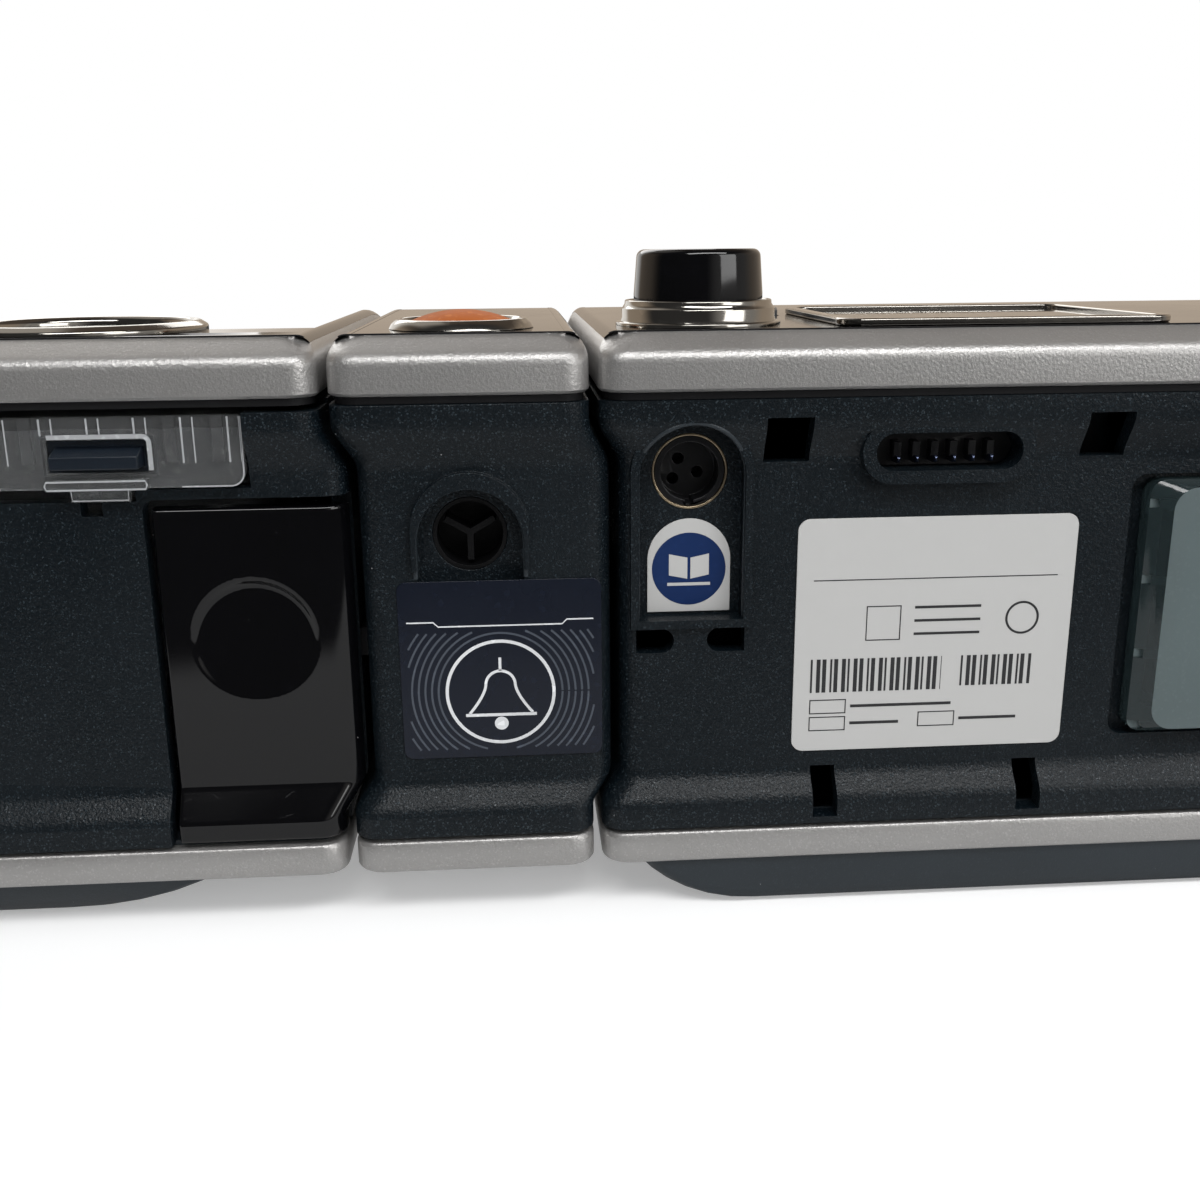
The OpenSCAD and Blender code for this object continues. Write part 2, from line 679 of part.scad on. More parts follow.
module dial_encoder() {
    color("dimgray") difference() {
        union() {
            translate([dial_x - encoder_s / 2, dial_y - encoder_s / 2, board_top])
                cube([encoder_s, encoder_s, 4]);
            translate([dial_x, dial_y, board_top]) cylinder(h = encoder_top - board_top, r = 4.4, $fn = 48);
        }
        translate([dial_x, dial_y, plunger_z - press - 0.2])
            cylinder(h = 20, r = stem_r + 0.05, $fn = 48);
    }
}

// Keys: a cap in the panel, a flange that holds it under the panel and a stem to its switch
key_out = 0.5 + press;
flange_t = 0.9;
key_stem = 1.4;
stem_low = board_top + press + 0.25;
module key(x, y) {
    translate([x, y, facia_low - 0.4]) linear_extrude(facia_t + 0.4 + key_out) children(0);
    translate([x, y, facia_low - 0.4 - flange_t]) linear_extrude(flange_t) children(1);
    translate([x, y, stem_low]) cylinder(h = facia_low - 0.8 - stem_low, r = key_stem, $fn = 32);
}
module round_key(x) {
    key(x, key_y) {
        circle(key_d / 2, $fn = 64);
        circle(key_d / 2 + 0.9, $fn = 64);
    }
}
module setup_key() {
    color("gray") round_key(key_xs[0]);
}
module info_key() {
    color("gray") round_key(key_xs[1]);
}
module start_key() {
    color("gray") key(start_x, start_y) {
        stadium(start_l, start_w);
        stadium(start_l + 1.8, start_w + 1.8);
    }
}
module main_board() {
    color("darkgreen") {
        translate([board_x0, board_y0, board_z])
            cube([board_x1 - board_x0, board_y1 - board_y0, board_t]);
        for (k = [0:3]) translate([board_x0 + 20 + 22 * k, board_y0 + 14, board_z - 2.4])
            cube([9, 9, 2.4]);
    }
}

// Power socket: a dark barrel with three contact holes and a key notch, in a thin brass ring
ring_t = 0.3;
ring_l = 1.2;
contact_r = 0.7;
contacts = [[1.1, 1.2], [1.8, -1.4], [-1.4, -0.6]];
module power_socket() {
    color(gloss) translate([inlet_x, pocket_y, inlet_z]) rotate([90, 0, 0]) difference() {
        union() {
            translate([0, 0, ring_l]) cylinder(h = socket_len, r = socket_r, $fn = 64);
            translate([0, 0, 0.2]) cylinder(h = ring_l, r = socket_r - ring_t - 0.03, $fn = 64);
        }
        cylinder(h = ring_l + 2, r = plug_d / 2, $fn = 64);
        translate([-0.5, -plug_d / 2 - 0.5, 0]) cube([1, 1, ring_l + 2]);
        for (c = contacts) translate([c[0], c[1], 0])
            cylinder(h = ring_l + socket_len - 2.2, r = contact_r, $fn = 24);
    }
}
module power_ring() {
    color([0.7, 0.55, 0.3]) translate([inlet_x, pocket_y, inlet_z]) rotate([90, 0, 0]) difference() {
        cylinder(h = ring_l, r = socket_r, $fn = 64);
        translate([0, 0, -1]) cylinder(h = 3, r = socket_r - ring_t, $fn = 64);
    }
}
// Contact block of the data port, with a row of blades
contact_n = 6;
contact_pitch = 2.4;
module data_port() {
    color(slate) {
        translate([port_x, 0, port_z]) from_rear(port_y - port_deep, 5)
            stadium(port_w - 2 * port_rim - 0.1, port_h - 2 * port_rim - 0.1);
        for (k = [0:contact_n - 1])
            translate([port_x + (k - (contact_n - 1) / 2) * contact_pitch, port_y - port_deep + 0.3, port_z])
                cube([1, 2.6, 2], center = true);
    }
}
label_t = 0.2;
label_x = port_x + 0.1;
label_z = 37.4;
label_r = 1.6;
module rating_label() {
    color("white") translate([label_x, 0, label_z]) from_rear(waist_y + label_t, label_t)
        rounded(label_w, label_h, label_r);
}
sticker_w = 10.8;
module inlet_sticker() {
    color("white") translate([inlet_x, 0, 0]) from_rear(pocket_y + label_t, label_t)
        arch(sticker_w, inlet_low + 0.4, inlet_z - socket_r - 1.2);
}

// Filter with its cover, which clips into the filter box
cover_skirt = 4;
cover_wall = 1.4;
cover_out = waist_in - 0.3;
fit_gap = 0.35;
edge_slot_n = 4;
edge_slot_pitch = 10.1;
cover_slope = 2.4;
module air_filter() {
    color("whitesmoke") translate([cover_x, 0, cover_z])
        from_rear(waist_y - cover_skirt - 0.3, waist_y - cover_skirt - 0.6 - box_y - box_wall)
            square([box_w - 2 * fit_gap, box_h - 2 * fit_gap], center = true);
}
module filter_cover() {
    color([0.4, 0.48, 0.49]) translate([cover_x, 0, cover_z]) difference() {
        union() {
            hull() {
                from_rear(waist_y + cover_out, 0.1)
                    rounded(cover_w - 2 * cover_slope, cover_h - 1.6, 3);
                from_rear(waist_y + 0.5, nest_deep + 0.2) rounded(cover_w, cover_h, 2);
            }
            from_rear(waist_y - 0.5, cover_skirt - 0.5)
                rounded(box_w - 2 * fit_gap, box_h - 2 * fit_gap, 1);
        }
        from_rear(waist_y + cover_out - cover_wall, 20)
            rounded(box_w - 2 * fit_gap - 2 * cover_wall, box_h - 2 * fit_gap - 2 * cover_wall, 0.6);
        for (k = [0:edge_slot_n - 1]) for (s = [-1, 1])
            translate([s * cover_w / 2, waist_y + cover_out / 2 - 0.3,
                (k - (edge_slot_n - 1) / 2) * edge_slot_pitch - 1])
                cube([2 * cover_lap + 1, 0.7, 1.2], center = true);
    }
}

// Memory card in its reader, behind the free end wall
reader_x0 = main_x0 + waist_in + wall;
card_x0 = main_x0 + waist_in - 1.4;
module card_reader() {
    color("lightgray") difference() {
        translate([reader_x0, card_y - card_w / 2 - reader_wall, card_z - card_t / 2 - reader_wall])
            cube([card_l + 0.5, card_w + 2 * reader_wall, card_t + 2 * reader_wall]);
        translate([reader_x0 - 1, card_y - card_w / 2 - card_gap, card_z - card_t / 2 - card_gap])
            cube([card_l, card_w + 2 * card_gap, card_t + 2 * card_gap]);
    }
}
module memory_card() {
    color([0.1, 0.15, 0.35]) translate([card_x0, card_y - card_w / 2, card_z - card_t / 2])
        linear_extrude(card_t) polygon([[0, 0], [card_l, 0],
            [card_l, card_w - 3], [card_l - 3, card_w], [0, card_w]]);
}

// Blower: a split case with a side outlet, its motor and its impeller
blower_in = 55;
blower_x = main_x0 + blower_in;
blower_y = outlet_y + blower_r - duct_r - duct_wall - 2;
case_z = tray_z + 2.6;
case_h = 38;
split_z = outlet_z;
case_wall = 2.5;
motor_r = 13;
shaft_r = 1.5;
case_reach = blower_x + blower_r + 6;
case_foot_r = 5;
case_foot_in = 8;
eye_r = 12;
module case_body() {
    difference() {
        union() {
            translate([blower_x, blower_y, case_z]) cylinder(h = case_h, r = blower_r, $fn = 96);
            translate([blower_x, outlet_y, outlet_z]) rotate([0, 90, 0])
                cylinder(h = case_reach - blower_x, r = duct_r + duct_wall, $fn = 64);
        }
        translate([blower_x, blower_y, case_z + case_wall])
            cylinder(h = case_h - 2 * case_wall, r = blower_r - case_wall, $fn = 96);
        translate([blower_x, outlet_y, outlet_z]) rotate([0, 90, 0])
            cylinder(h = main_w, r = duct_r, $fn = 64);
    }
}
module blower_case() {
    color(slate) {
        difference() {
            case_body();
            translate([main_x0, front_y, split_z]) cube([main_w, set_depth, case_h]);
        }
        for (a = [30, 150, 270]) translate([blower_x, blower_y, tray_z]) rotate([0, 0, a])
            translate([blower_r - case_foot_in, 0, 0])
                cylinder(h = case_z - tray_z + 0.5, r = case_foot_r, $fn = 32);
    }
}
module blower_lid() {
    color(slate) difference() {
        case_body();
        translate([main_x0, front_y, split_z - case_h]) cube([main_w, set_depth, case_h]);
        translate([blower_x, blower_y, split_z]) cylinder(h = case_h, r = eye_r, $fn = 64);
    }
}
motor_h = 12;
impeller_z = case_z + case_wall + motor_h + 1;
impeller_h = 9;
hub_r = 4.5;
vane_t = 1;
module blower_motor() {
    color("silver") translate([blower_x, blower_y, case_z + case_wall]) {
        cylinder(h = motor_h, r = motor_r, $fn = 64);
        cylinder(h = motor_h + impeller_h, r = shaft_r, $fn = 32);
    }
}
module impeller() {
    color("white") translate([blower_x, blower_y, impeller_z]) {
        difference() {
            union() {
                cylinder(h = impeller_h - 1, r = hub_r, $fn = 48);
                cylinder(h = 1.4, r = impeller_r, $fn = 96);
                for (k = [0:vane_n - 1]) rotate([0, 0, k * 360 / vane_n]) translate([hub_r - 0.5, 0, 1])
                    rotate([0, 0, 14]) cube([impeller_r - hub_r - 1.5, vane_t, impeller_h - 2.4]);
            }
            translate([0, 0, -1]) cylinder(h = impeller_h + 2, r = shaft_r + 0.05, $fn = 32);
        }
    }
}
module outlet_duct() {
    color("dimgray") translate([case_reach, outlet_y, outlet_z]) rotate([0, 90, 0]) difference() {
        cylinder(h = main_waist_x - case_reach, r = duct_r + duct_wall, $fn = 64);
        translate([0, 0, -1]) cylinder(h = main_w, r = duct_r, $fn = 64);
    }
}

// Alarm unit: a narrow housing whose low X end bulges into the flow unit's waist
alarm_mid = (alarm_x0 + alarm_x1) / 2;
alarm_rec_x = alarm_mid - 0.6;
alarm_rec_low = 43.6;
alarm_rec_top = alarm_z + alarm_rec_w / 2 - 0.6;
alarm_lip_w = 0.65;
alarm_lip_top = 2.2;
alarm_socket_r = alarm_hole_d / 2 + 0.5;
hook_y = rear_y - 12.5;
hook_z = 36;
hook_h = 4;
hook_slot_y = 10;
hook_slot_h = 7;
hook_reach = 7;
hook_t = 3;
hook_catch = 2.4;
module hook_slot(x) {
    translate([x - hook_reach, hook_y - hook_slot_y / 2, hook_z - hook_slot_h / 2])
        cube([2 * hook_reach, hook_slot_y, hook_slot_h]);
}
module alarm_tray() {
    color(slate) {
        floor_tray(alarm_x0, alarm_x1) tray_bores(alarm_x0, alarm_x1);
        for (y = [alarm_board_y0 + 5, pocket_y - socket_len - post_r - 1])
            translate([alarm_mid, y, low_z + 1]) cylinder(h = board_z - low_z - 1, r = post_r, $fn = 32);
    }
}
module alarm_band() {
    color(silver) low_band(alarm_x0, alarm_x1);
}
module alarm_shell() {
    color(charcoal) difference() {
        union() {
            swept_ring(alarm_x0, alarm_x1, housing_steps(-1, 1, bed));
            translate([alarm_rec_x, 0, 0]) from_rear(waist_y + lip_out, inlet_deep + floor_t + lip_out)
                arch(alarm_rec_w + 2 * alarm_lip_w, alarm_rec_low + 4, alarm_rec_top + alarm_lip_top);
            translate([alarm_rec_x, 0, 0]) from_rear(waist_y - 1, inlet_deep + floor_t - 1)
                arch(alarm_rec_w + 2 * lip_w, alarm_rec_low - lip_w, alarm_rec_top);
            bosses(alarm_x0, alarm_x1);
        }
        boss_bores(alarm_x0, alarm_x1);
        translate([alarm_rec_x, 0, 0]) from_rear(rear_y + 1, rear_y + 1 - pocket_y)
            arch(alarm_rec_w, alarm_rec_low, alarm_rec_top);
        translate([alarm_rec_x, 0, alarm_z]) rotate([-90, 0, 0])
            cylinder(h = rear_y, r = alarm_socket_r + 0.05, $fn = 48);
        translate([alarm_x0 - waist_in - 1, outlet_y, outlet_z]) rotate([0, 90, 0])
            cylinder(h = alarm_w + 2 * waist_in + 2, r = duct_r + duct_wall + 0.05, $fn = 64);
        hook_slot(alarm_x1);
    }
}
module alarm_frame() {
    color(silver) top_frame(alarm_x0, alarm_x1);
}
module alarm_facia() {
    color(gloss) difference() {
        panel_plate(alarm_x0, alarm_x1);
        translate([alarm_mid, rear_y - lens_rear, facia_low - 1])
            cylinder(h = facia_t + 2, r = lens_d / 2 + 0.3, $fn = 64);
    }
}
alarm_ring_h = 1.3;
module alarm_ring() {
    r = alarm_ring_d / 2;
    color(chrome) translate([alarm_mid, rear_y - lens_rear, face_z]) rotate_extrude($fn = 96)
        polygon([[lens_d / 2 + 0.5, 0], [r, 0], [r - 0.4, 0.7], [r - 1.1, alarm_ring_h],
            [r - 1.5, alarm_ring_h], [lens_d / 2 + 0.5, 0.8]]);
}
// Domed orange lens, pressed to silence the alarm
lens_rise = 2.4;
module alarm_button() {
    r = lens_d / 2;
    ball = (r * r + pow(lens_rise - press, 2)) / (2 * (lens_rise - press));
    color("orangered") translate([alarm_mid, rear_y - lens_rear, 0]) {
        intersection() {
            translate([0, 0, facia_low - 0.4]) cylinder(h = facia_t + 2 * lens_rise, r = r, $fn = 96);
            translate([0, 0, face_z + lens_rise - ball]) sphere(ball, $fn = 96);
        }
        translate([0, 0, facia_low - 0.4 - flange_t]) cylinder(h = flange_t, r = r + 0.9, $fn = 64);
        translate([0, 0, stem_low]) cylinder(h = facia_low - 0.8 - stem_low, r = key_stem, $fn = 32);
    }
}
// Round socket with a three-way key standing in it
alarm_hole_deep = 4.5;
module alarm_socket() {
    color(gloss) translate([alarm_rec_x, pocket_y, alarm_z]) rotate([90, 0, 0]) {
        difference() {
            cylinder(h = socket_len, r = alarm_socket_r, $fn = 64);
            translate([0, 0, -1]) cylinder(h = alarm_hole_deep + 1, r = alarm_hole_d / 2, $fn = 64);
        }
        for (a = [30, 150, 270]) rotate([0, 0, a]) translate([0, -0.4, 0.8])
            cube([alarm_hole_d / 2 - 0.6, 0.8, alarm_hole_deep]);
    }
}
alarm_label_x = alarm_mid - 4.1;
alarm_label_z = 34.3;
alarm_label_r = 1.2;
module alarm_label() {
    color("midnightblue") translate([alarm_label_x, 0, alarm_label_z])
        from_rear(waist_y + label_t, label_t) rounded(alarm_label_w, alarm_label_h, alarm_label_r);
}
alarm_board_y0 = bend_y - 10;
alarm_board_y1 = rear_y - 9;
alarm_board_in = 7.5;
sounder_r = 6;
sounder_h = 5;
module alarm_board() {
    color("darkgreen") {
        translate([alarm_x0 + alarm_board_in, alarm_board_y0, board_z])
            cube([alarm_w - 2 * alarm_board_in, alarm_board_y1 - alarm_board_y0, board_t]);
        translate([alarm_mid, alarm_board_y0 + 22, board_z - sounder_h])
            cylinder(h = sounder_h, r = sounder_r, $fn = 48);
    }
}
module alarm_duct() {
    color("dimgray") translate([alarm_x0 - waist_in, outlet_y, outlet_z]) rotate([0, 90, 0]) difference() {
        cylinder(h = alarm_w, r = duct_r + duct_wall, $fn = 64);
        translate([0, 0, -1]) cylinder(h = alarm_w + 2, r = duct_r, $fn = 64);
    }
}

// Humidifier base: foot, tray, band and heater plate
humid_screw = panel_w + 8;
heater_low = 2.2;
heater_t = 3.2;
heater_in = 8;
heater_z = tray_z + heater_low + heater_t;
tub_x0 = humid_x0 + 9;
tub_x1 = humid_x1 - 13.5;
tub_y0 = front_y + 13.5;
tub_y1 = rear_y - 18.5;
tub_z = heater_z + bed;
tub_wall = 2;
tub_r = 9;
tub_top = body_top - 2.7;
module humid_foot() {
    color(slate) difference() {
        boat_foot(humid_foot_x0, humid_foot_x1, humid_foot_end, main_foot_end, 2.8, 4);
        pad_seats(humid_x0 + humid_pad_in, humid_foot_x1);
        foot_holes(humid_x0, humid_x1);
    }
}
module humid_tray() {
    color(slate) floor_tray(humid_x0, humid_x1) tray_bores(humid_x0, humid_x1, humid_screw);
}
module humid_band() {
    color(silver) low_band(humid_x0, humid_x1);
}
module heater_plate() {
    color("silver") {
        for (step = [[heater_in + 6, tray_z, heater_low + 1], [heater_in, tray_z + heater_low, heater_t]])
            translate([tub_x0 + step[0], tub_y0 + step[0], step[1]])
                cube([tub_x1 - tub_x0 - 2 * step[0], tub_y1 - tub_y0 - 2 * step[0], step[2]]);
    }
}

// Hinge of the lid: its axis lies inside the lid's frame, near the rear
hinge_in = 2.9;
hinge_up = 2.2;
hinge_y = rear_y - hinge_in;
hinge_z = band_z + hinge_up;
knuckle_in = [57, 12];
knuckle_xs = [humid_x0 + knuckle_in[0], humid_x1 - knuckle_in[1]];
knuckle_w = 4;
knuckle_r = 1.7;
pin_r = 0.8;
pin_l = 9;
tower_y = rear_y - 10;
tower_d = 3.3;
sweep_z = body_top - 0.6;
lid_gap = 0.35;
module on_hinge(x, w, r) {
    translate([x - w / 2, hinge_y, hinge_z]) rotate([0, 90, 0]) cylinder(h = w, r = r, $fn = 48);
}
module knuckles() {
    for (x = knuckle_xs) {
        translate([x - knuckle_w / 2, tower_y, notch_z - 12]) cube([knuckle_w, waist_y - 1 - tower_y, 12]);
        translate([x - knuckle_w / 2, tower_y, notch_z - 1])
            cube([knuckle_w, tower_d, hinge_z + 1 - notch_z + 1]);
        translate([x - knuckle_w / 2, tower_y, hinge_z - 1]) cube([knuckle_w, hinge_y - tower_y, 2]);
        on_hinge(x, knuckle_w, knuckle_r);
    }
}

// Outlet for the breathing tube, in a round recess of the rear wall
nozzle_in = 29.4;
nozzle_x = humid_x1 - nozzle_in;
nozzle_z = outlet_z;
nozzle_y = rear_y - tube_len - 1;
nozzle_bore = tube_d / 2 - 2;
cup_r = 17;
cup_wall = 1.8;
notch_z = 57.3;
notch_in = 8.9;
notch_x0 = humid_x0 + notch_in;
notch_x1 = humid_x1 - notch_in;
notch_step = 1.4;
tab_slot_w = 2.6;
tab_slot_deep = 1.8;
panel_back = waist_y - 2.4;
panel_low = body_z + 0.35;
panel_gap = 0.35;
panel_gap_side = 1;
panel_gap_top = 1.2;
panel_corner = 1.5;
notch_step_x = humid_x0 + panel_w + panel_gap_side + 0.6;
module panel_zone(back, low, side, top) {
    w = panel_w + waist_in + 1 + side;
    h = panel_top - panel_low + low + top;
    translate([humid_x0 - waist_in - 1, 0, panel_low - low]) from_rear(rear_y + 1, rear_y + 1 - back) {
        square([w, h - panel_corner]);
        square([w - panel_corner, h]);
        translate([w - panel_corner, h - panel_corner]) circle(panel_corner, $fn = 32);
    }
}
module humid_shell() {
    color(charcoal) difference() {
        union() {
            difference() {
                swept_ring(humid_x0, humid_x1, housing_steps(-1, 1, lid_gap));
                translate([notch_step_x, tub_y1, notch_z])
                    cube([notch_x1 - notch_step_x, rear_y - tub_y1 + 1, face_z - notch_z]);
                translate([notch_x0, tub_y1, notch_z + notch_step])
                    cube([notch_step_x - notch_x0 + 1, rear_y - tub_y1 + 1, face_z - notch_z]);
                translate([latch_xs[0] + 0.3, waist_y - wall - 1, notch_z - tab_slot_deep])
                    cube([tab_slot_w, wall + 2, tab_slot_deep + 1]);
                translate([humid_x0 - waist_in - 1, tower_y, sweep_z])
                    cube([humid_w + 2 * waist_in + 2, rear_y - tower_y + 1, face_z - sweep_z]);
                translate([humid_x0 - waist_in - 1, outlet_y, outlet_z]) rotate([0, 90, 0])
                    cylinder(h = waist_in + wall + 2, r = duct_r + 0.5, $fn = 64);
            }
            bosses(humid_x0, humid_x1, humid_screw);
            knuckles();
            translate([nozzle_x, nozzle_y - cup_wall, nozzle_z]) rotate([-90, 0, 0])
                cylinder(h = waist_y - 0.5 - nozzle_y + cup_wall, r = cup_r + cup_wall, $fn = 96);
            translate([humid_x0 - 0.5, outlet_y, outlet_z]) rotate([0, 90, 0]) difference() {
                cylinder(h = tub_x0 - 0.3 - humid_x0 + 0.5, r = duct_r + duct_wall, $fn = 64);
                translate([0, 0, -1]) cylinder(h = tub_x0 - humid_x0 + 2, r = duct_r, $fn = 64);
            }
        }
        boss_bores(humid_x0, humid_x1, humid_screw);
        for (x = knuckle_xs) on_hinge(x, knuckle_w + 2, pin_r + 0.06);
        translate([nozzle_x, nozzle_y, nozzle_z]) rotate([-90, 0, 0])
            cylinder(h = tube_len + 2, r = cup_r, $fn = 96);
        translate([nozzle_x, nozzle_y - cup_wall - 1, nozzle_z]) rotate([-90, 0, 0])
            cylinder(h = tube_len, r = tube_d / 2 - 0.45, $fn = 64);
        panel_zone(panel_back - panel_press - 0.4, panel_gap, panel_gap_side, panel_gap_top);
        hook_slot(humid_x0);
    }
}
module air_outlet() {
    color("lightgray") translate([nozzle_x, nozzle_y, nozzle_z]) rotate([-90, 0, 0]) difference() {
        union() {
            cylinder(h = tube_len, r = tube_d / 2, $fn = 96);
            translate([0, 0, -cup_wall - 0.8]) cylinder(h = 4, r = tube_d / 2 - 0.5, $fn = 96);
        }
        translate([0, 0, -tube_len]) cylinder(h = 3 * tube_len, r = nozzle_bore, $fn = 96);
    }
}
module under_curve(x0, x1, level, dip) {
    ys = plate_ys(dip);
    translate([x0, 0, 0]) rotate([90, 0, 90]) linear_extrude(x1 - x0)
        polygon(concat([for (y = ys) [y, level - fall(y) - dip * dish(y)]], [[front_y, 1], [rear_y, 1]]));
}
module tub_plan(grow) {
    w = tub_x1 - tub_x0 + 2 * grow;
    d = tub_y1 - tub_y0 + 2 * grow;
    translate([(tub_x0 + tub_x1) / 2, (tub_y0 + tub_y1) / 2]) rounded(w, d, tub_r + grow);
}
module water_tub() {
    color([0.6, 0.65, 0.68, 0.5]) difference() {
        intersection() {
            translate([0, 0, tub_z]) linear_extrude(body_h) tub_plan(0);
            under_curve(tub_x0 - 1, tub_x1 + 1, tub_top, lid_dip);
        }
        translate([0, 0, tub_z + tub_wall]) linear_extrude(body_h) tub_plan(-tub_wall);
        translate([tub_x0 - 1, outlet_y, outlet_z]) rotate([0, 90, 0])
            cylinder(h = tub_wall + 2, r = duct_r, $fn = 64);
        translate([nozzle_x, tub_y1 - tub_wall - 1, nozzle_z]) rotate([-90, 0, 0])
            cylinder(h = tub_wall + 2, r = nozzle_bore, $fn = 64);
    }
}

// Clear cover of the tub. Its rear edge shows under the lid, with ribs, two windows for
// the latches and a finger lip with a tab below each window.
cover_t = 1.6;
cover_z0 = tub_top + bed;
skirt_y = rear_y - 1.5;
skirt_t = 1.5;
skirt_low = notch_z + 1.8;
skirt_top = sweep_z - 0.3;
skirt_r = 1.8;
rib_w = 1.4;
rib_pitch = 5.6;
rib_low = skirt_low + 3.2;
latch_in = 26.6;
latch_xs = [humid_x0 + latch_in, humid_x1 - latch_in];
latch_w = 10.4;
latch_z = notch_z + 4.3;
latch_h = 1.6;
latch_out = 1.4;
window_w = latch_w + 1.6;
window_low = latch_z - 0.7;
window_top = latch_z + 3.4;
lip_low = skirt_low;
lip_h = 1.2;
lip_reach = 1.2;
tab_w = 7;
flange_x0 = notch_x0 + 0.4;
flange_x1 = notch_x1 - 0.4;
// Rear face of the clear flange, with round lower corners and the two windows
module flange_face() {
    difference() {
        union() {
            translate([flange_x0, skirt_low + skirt_r])
                square([flange_x1 - flange_x0, skirt_top - skirt_low - skirt_r]);
            translate([flange_x0 + skirt_r, skirt_low])
                square([flange_x1 - flange_x0 - 2 * skirt_r, skirt_r + 1]);
            for (x = [flange_x0 + skirt_r, flange_x1 - skirt_r])
                translate([x, skirt_low + skirt_r]) circle(skirt_r, $fn = 32);
        }
        for (x = latch_xs) translate([x - window_w / 2, window_low])
            square([window_w, window_top - window_low]);
    }
}
module tub_cover() {
    color([0.75, 0.78, 0.8, 0.5]) difference() {
        union() {
            intersection() {
                curved_plate(tub_x0 - 1, tub_x1 + 1, cover_z0, cover_z0 + cover_t, lid_dip, lid_dip);
                linear_extrude(face_z) tub_plan(0.6);
            }
            translate([flange_x0, tub_y1 - 8, cover_z0])
                cube([flange_x1 - flange_x0, skirt_y - tub_y1 + 8, cover_t]);
            from_rear(skirt_y, skirt_t) flange_face();
            for (x = [flange_x0 + 2:rib_pitch:flange_x1 - 2])
                if (min([for (l = latch_xs) abs(x + rib_w / 2 - l)]) > window_w / 2 + rib_w)
                    translate([x, skirt_y - skirt_t, rib_low])
                        cube([rib_w, skirt_t + 0.7, skirt_top - rib_low]);
            for (x = latch_xs) {
                translate([x - window_w / 2, skirt_y - skirt_t, lip_low])
                    cube([window_w, skirt_t + lip_reach, lip_h]);
                translate([x - tab_w / 2, skirt_y - 0.8, notch_z + 0.2])
                    cube([tab_w, 0.8, lip_low - notch_z]);
            }
        }
        for (x = knuckle_xs) translate([x - knuckle_w / 2 - 0.4, tower_y - 0.4, 0])
            cube([knuckle_w + 0.8, tower_d + 0.8, face_z]);
    }
}
// Latch: a bar with a sloping top in each window, on a plate behind the flange
plate_t = 0.9;
latch_slope = 0.9;
module tub_latches() {
    color(slate) for (x = latch_xs) {
        translate([x - latch_w / 2, skirt_y + latch_out, latch_z]) rotate([90, 0, 90])
            linear_extrude(latch_w) polygon([[0, 0], [0, latch_h],
                [-skirt_t - latch_out, latch_h + latch_slope], [-skirt_t - latch_out, 0]]);
        translate([x - window_w / 2 - 0.8, skirt_y - skirt_t - plate_t, window_low - 0.4])
            cube([window_w + 1.6, plate_t, window_top - window_low + 0.8]);
    }
}

// Release panel: gloss black, it follows the housing's waist and has a thumb dish
dish_in = 9.9;
dish_x = humid_x0 + dish_in;
dish_z = 39.3;
dish_deep = 1.1;
module release_panel() {
    ball = (pow(dish_d / 2, 2) + dish_deep * dish_deep) / (2 * dish_deep);
    color(gloss) difference() {
        intersection() {
            swept_block(humid_x0, humid_x1, concat(
                [[0, 0, 0, body_z, corner_r]],
                [for (k = [0:step_n]) let (w = waist_in * ease(k / step_n))
                    [-w, w, w, body_z + low_strip + low_step * k / step_n, corner_r]],
                [[-waist_in, waist_in, waist_in, panel_top + 2, corner_r]]));
            panel_zone(panel_back, 0, 0, 0);
        }
        translate([dish_x, waist_y + ball - dish_deep, dish_z]) sphere(ball, $fn = 128);
    }
}
module dock_hook() {
    hook_x = humid_x0 + 6;
    tip_x = alarm_x1 - waist_in - wall - hook_catch;
    color("dimgray") translate([0, 0, hook_z - hook_h / 2]) linear_extrude(hook_h) polygon([
        [hook_x, panel_back], [hook_x, hook_y + hook_t / 2], [tip_x, hook_y + hook_t / 2],
        [tip_x, hook_y - hook_t / 2], [hook_x + hook_h, hook_y - hook_t / 2], [hook_x + hook_h, panel_back]]);
}

// Lid: silver frame, dished panel, chrome ring with its button, and the hinge pins
module hinge_pockets() {
    for (x = knuckle_xs) translate([x - knuckle_w / 2 - lid_gap, tower_y - lid_gap, band_z - 5])
        cube([knuckle_w + 2 * lid_gap, hinge_y + knuckle_r + 0.4 - tower_y + lid_gap, 5 + 2 * hinge_up]);
}
module lid_frame() {
    color(silver) difference() {
        top_frame(humid_x0, humid_x1, lid_dip);
        hinge_pockets();
        for (x = knuckle_xs) on_hinge(x, pin_l, pin_r);
    }
}
lid_ring_x = humid_x0 + lid_ring_in;
lid_ring_y = rear_y - lid_ring_rear;
lid_ring_r = lid_ring_d / 2;
lid_ring_w = 2.2;
lid_ring_h = 1.2;
lid_button_r = lid_ring_r - lid_ring_w - 0.3;
module lid_facia() {
    color(gloss) difference() {
        union() {
            panel_plate(humid_x0, humid_x1, lid_dip);
            translate([lid_ring_x, lid_ring_y, facia_low - 1])
                cylinder(h = facia_t + 1, r = lid_ring_r, $fn = 96);
        }
        translate([lid_ring_x, lid_ring_y, facia_low - 1])
            cylinder(h = facia_t + 2, r = lid_button_r + 0.3, $fn = 96);
        translate([lid_ring_x, lid_ring_y, facia_low - lid_dip - 2])
            cylinder(h = lid_dip + 2, r = lid_button_r + 1.4, $fn = 96);
        hinge_pockets();
    }
}
module lid_ring() {
    r = lid_ring_r;
    color(chrome) translate([lid_ring_x, lid_ring_y, face_z]) rotate_extrude($fn = 128)
        polygon([[r - lid_ring_w, 0], [r, 0], [r, 0.4], [r - 0.6, lid_ring_h],
            [r - 1.4, lid_ring_h], [r - lid_ring_w, 0.6]]);
}
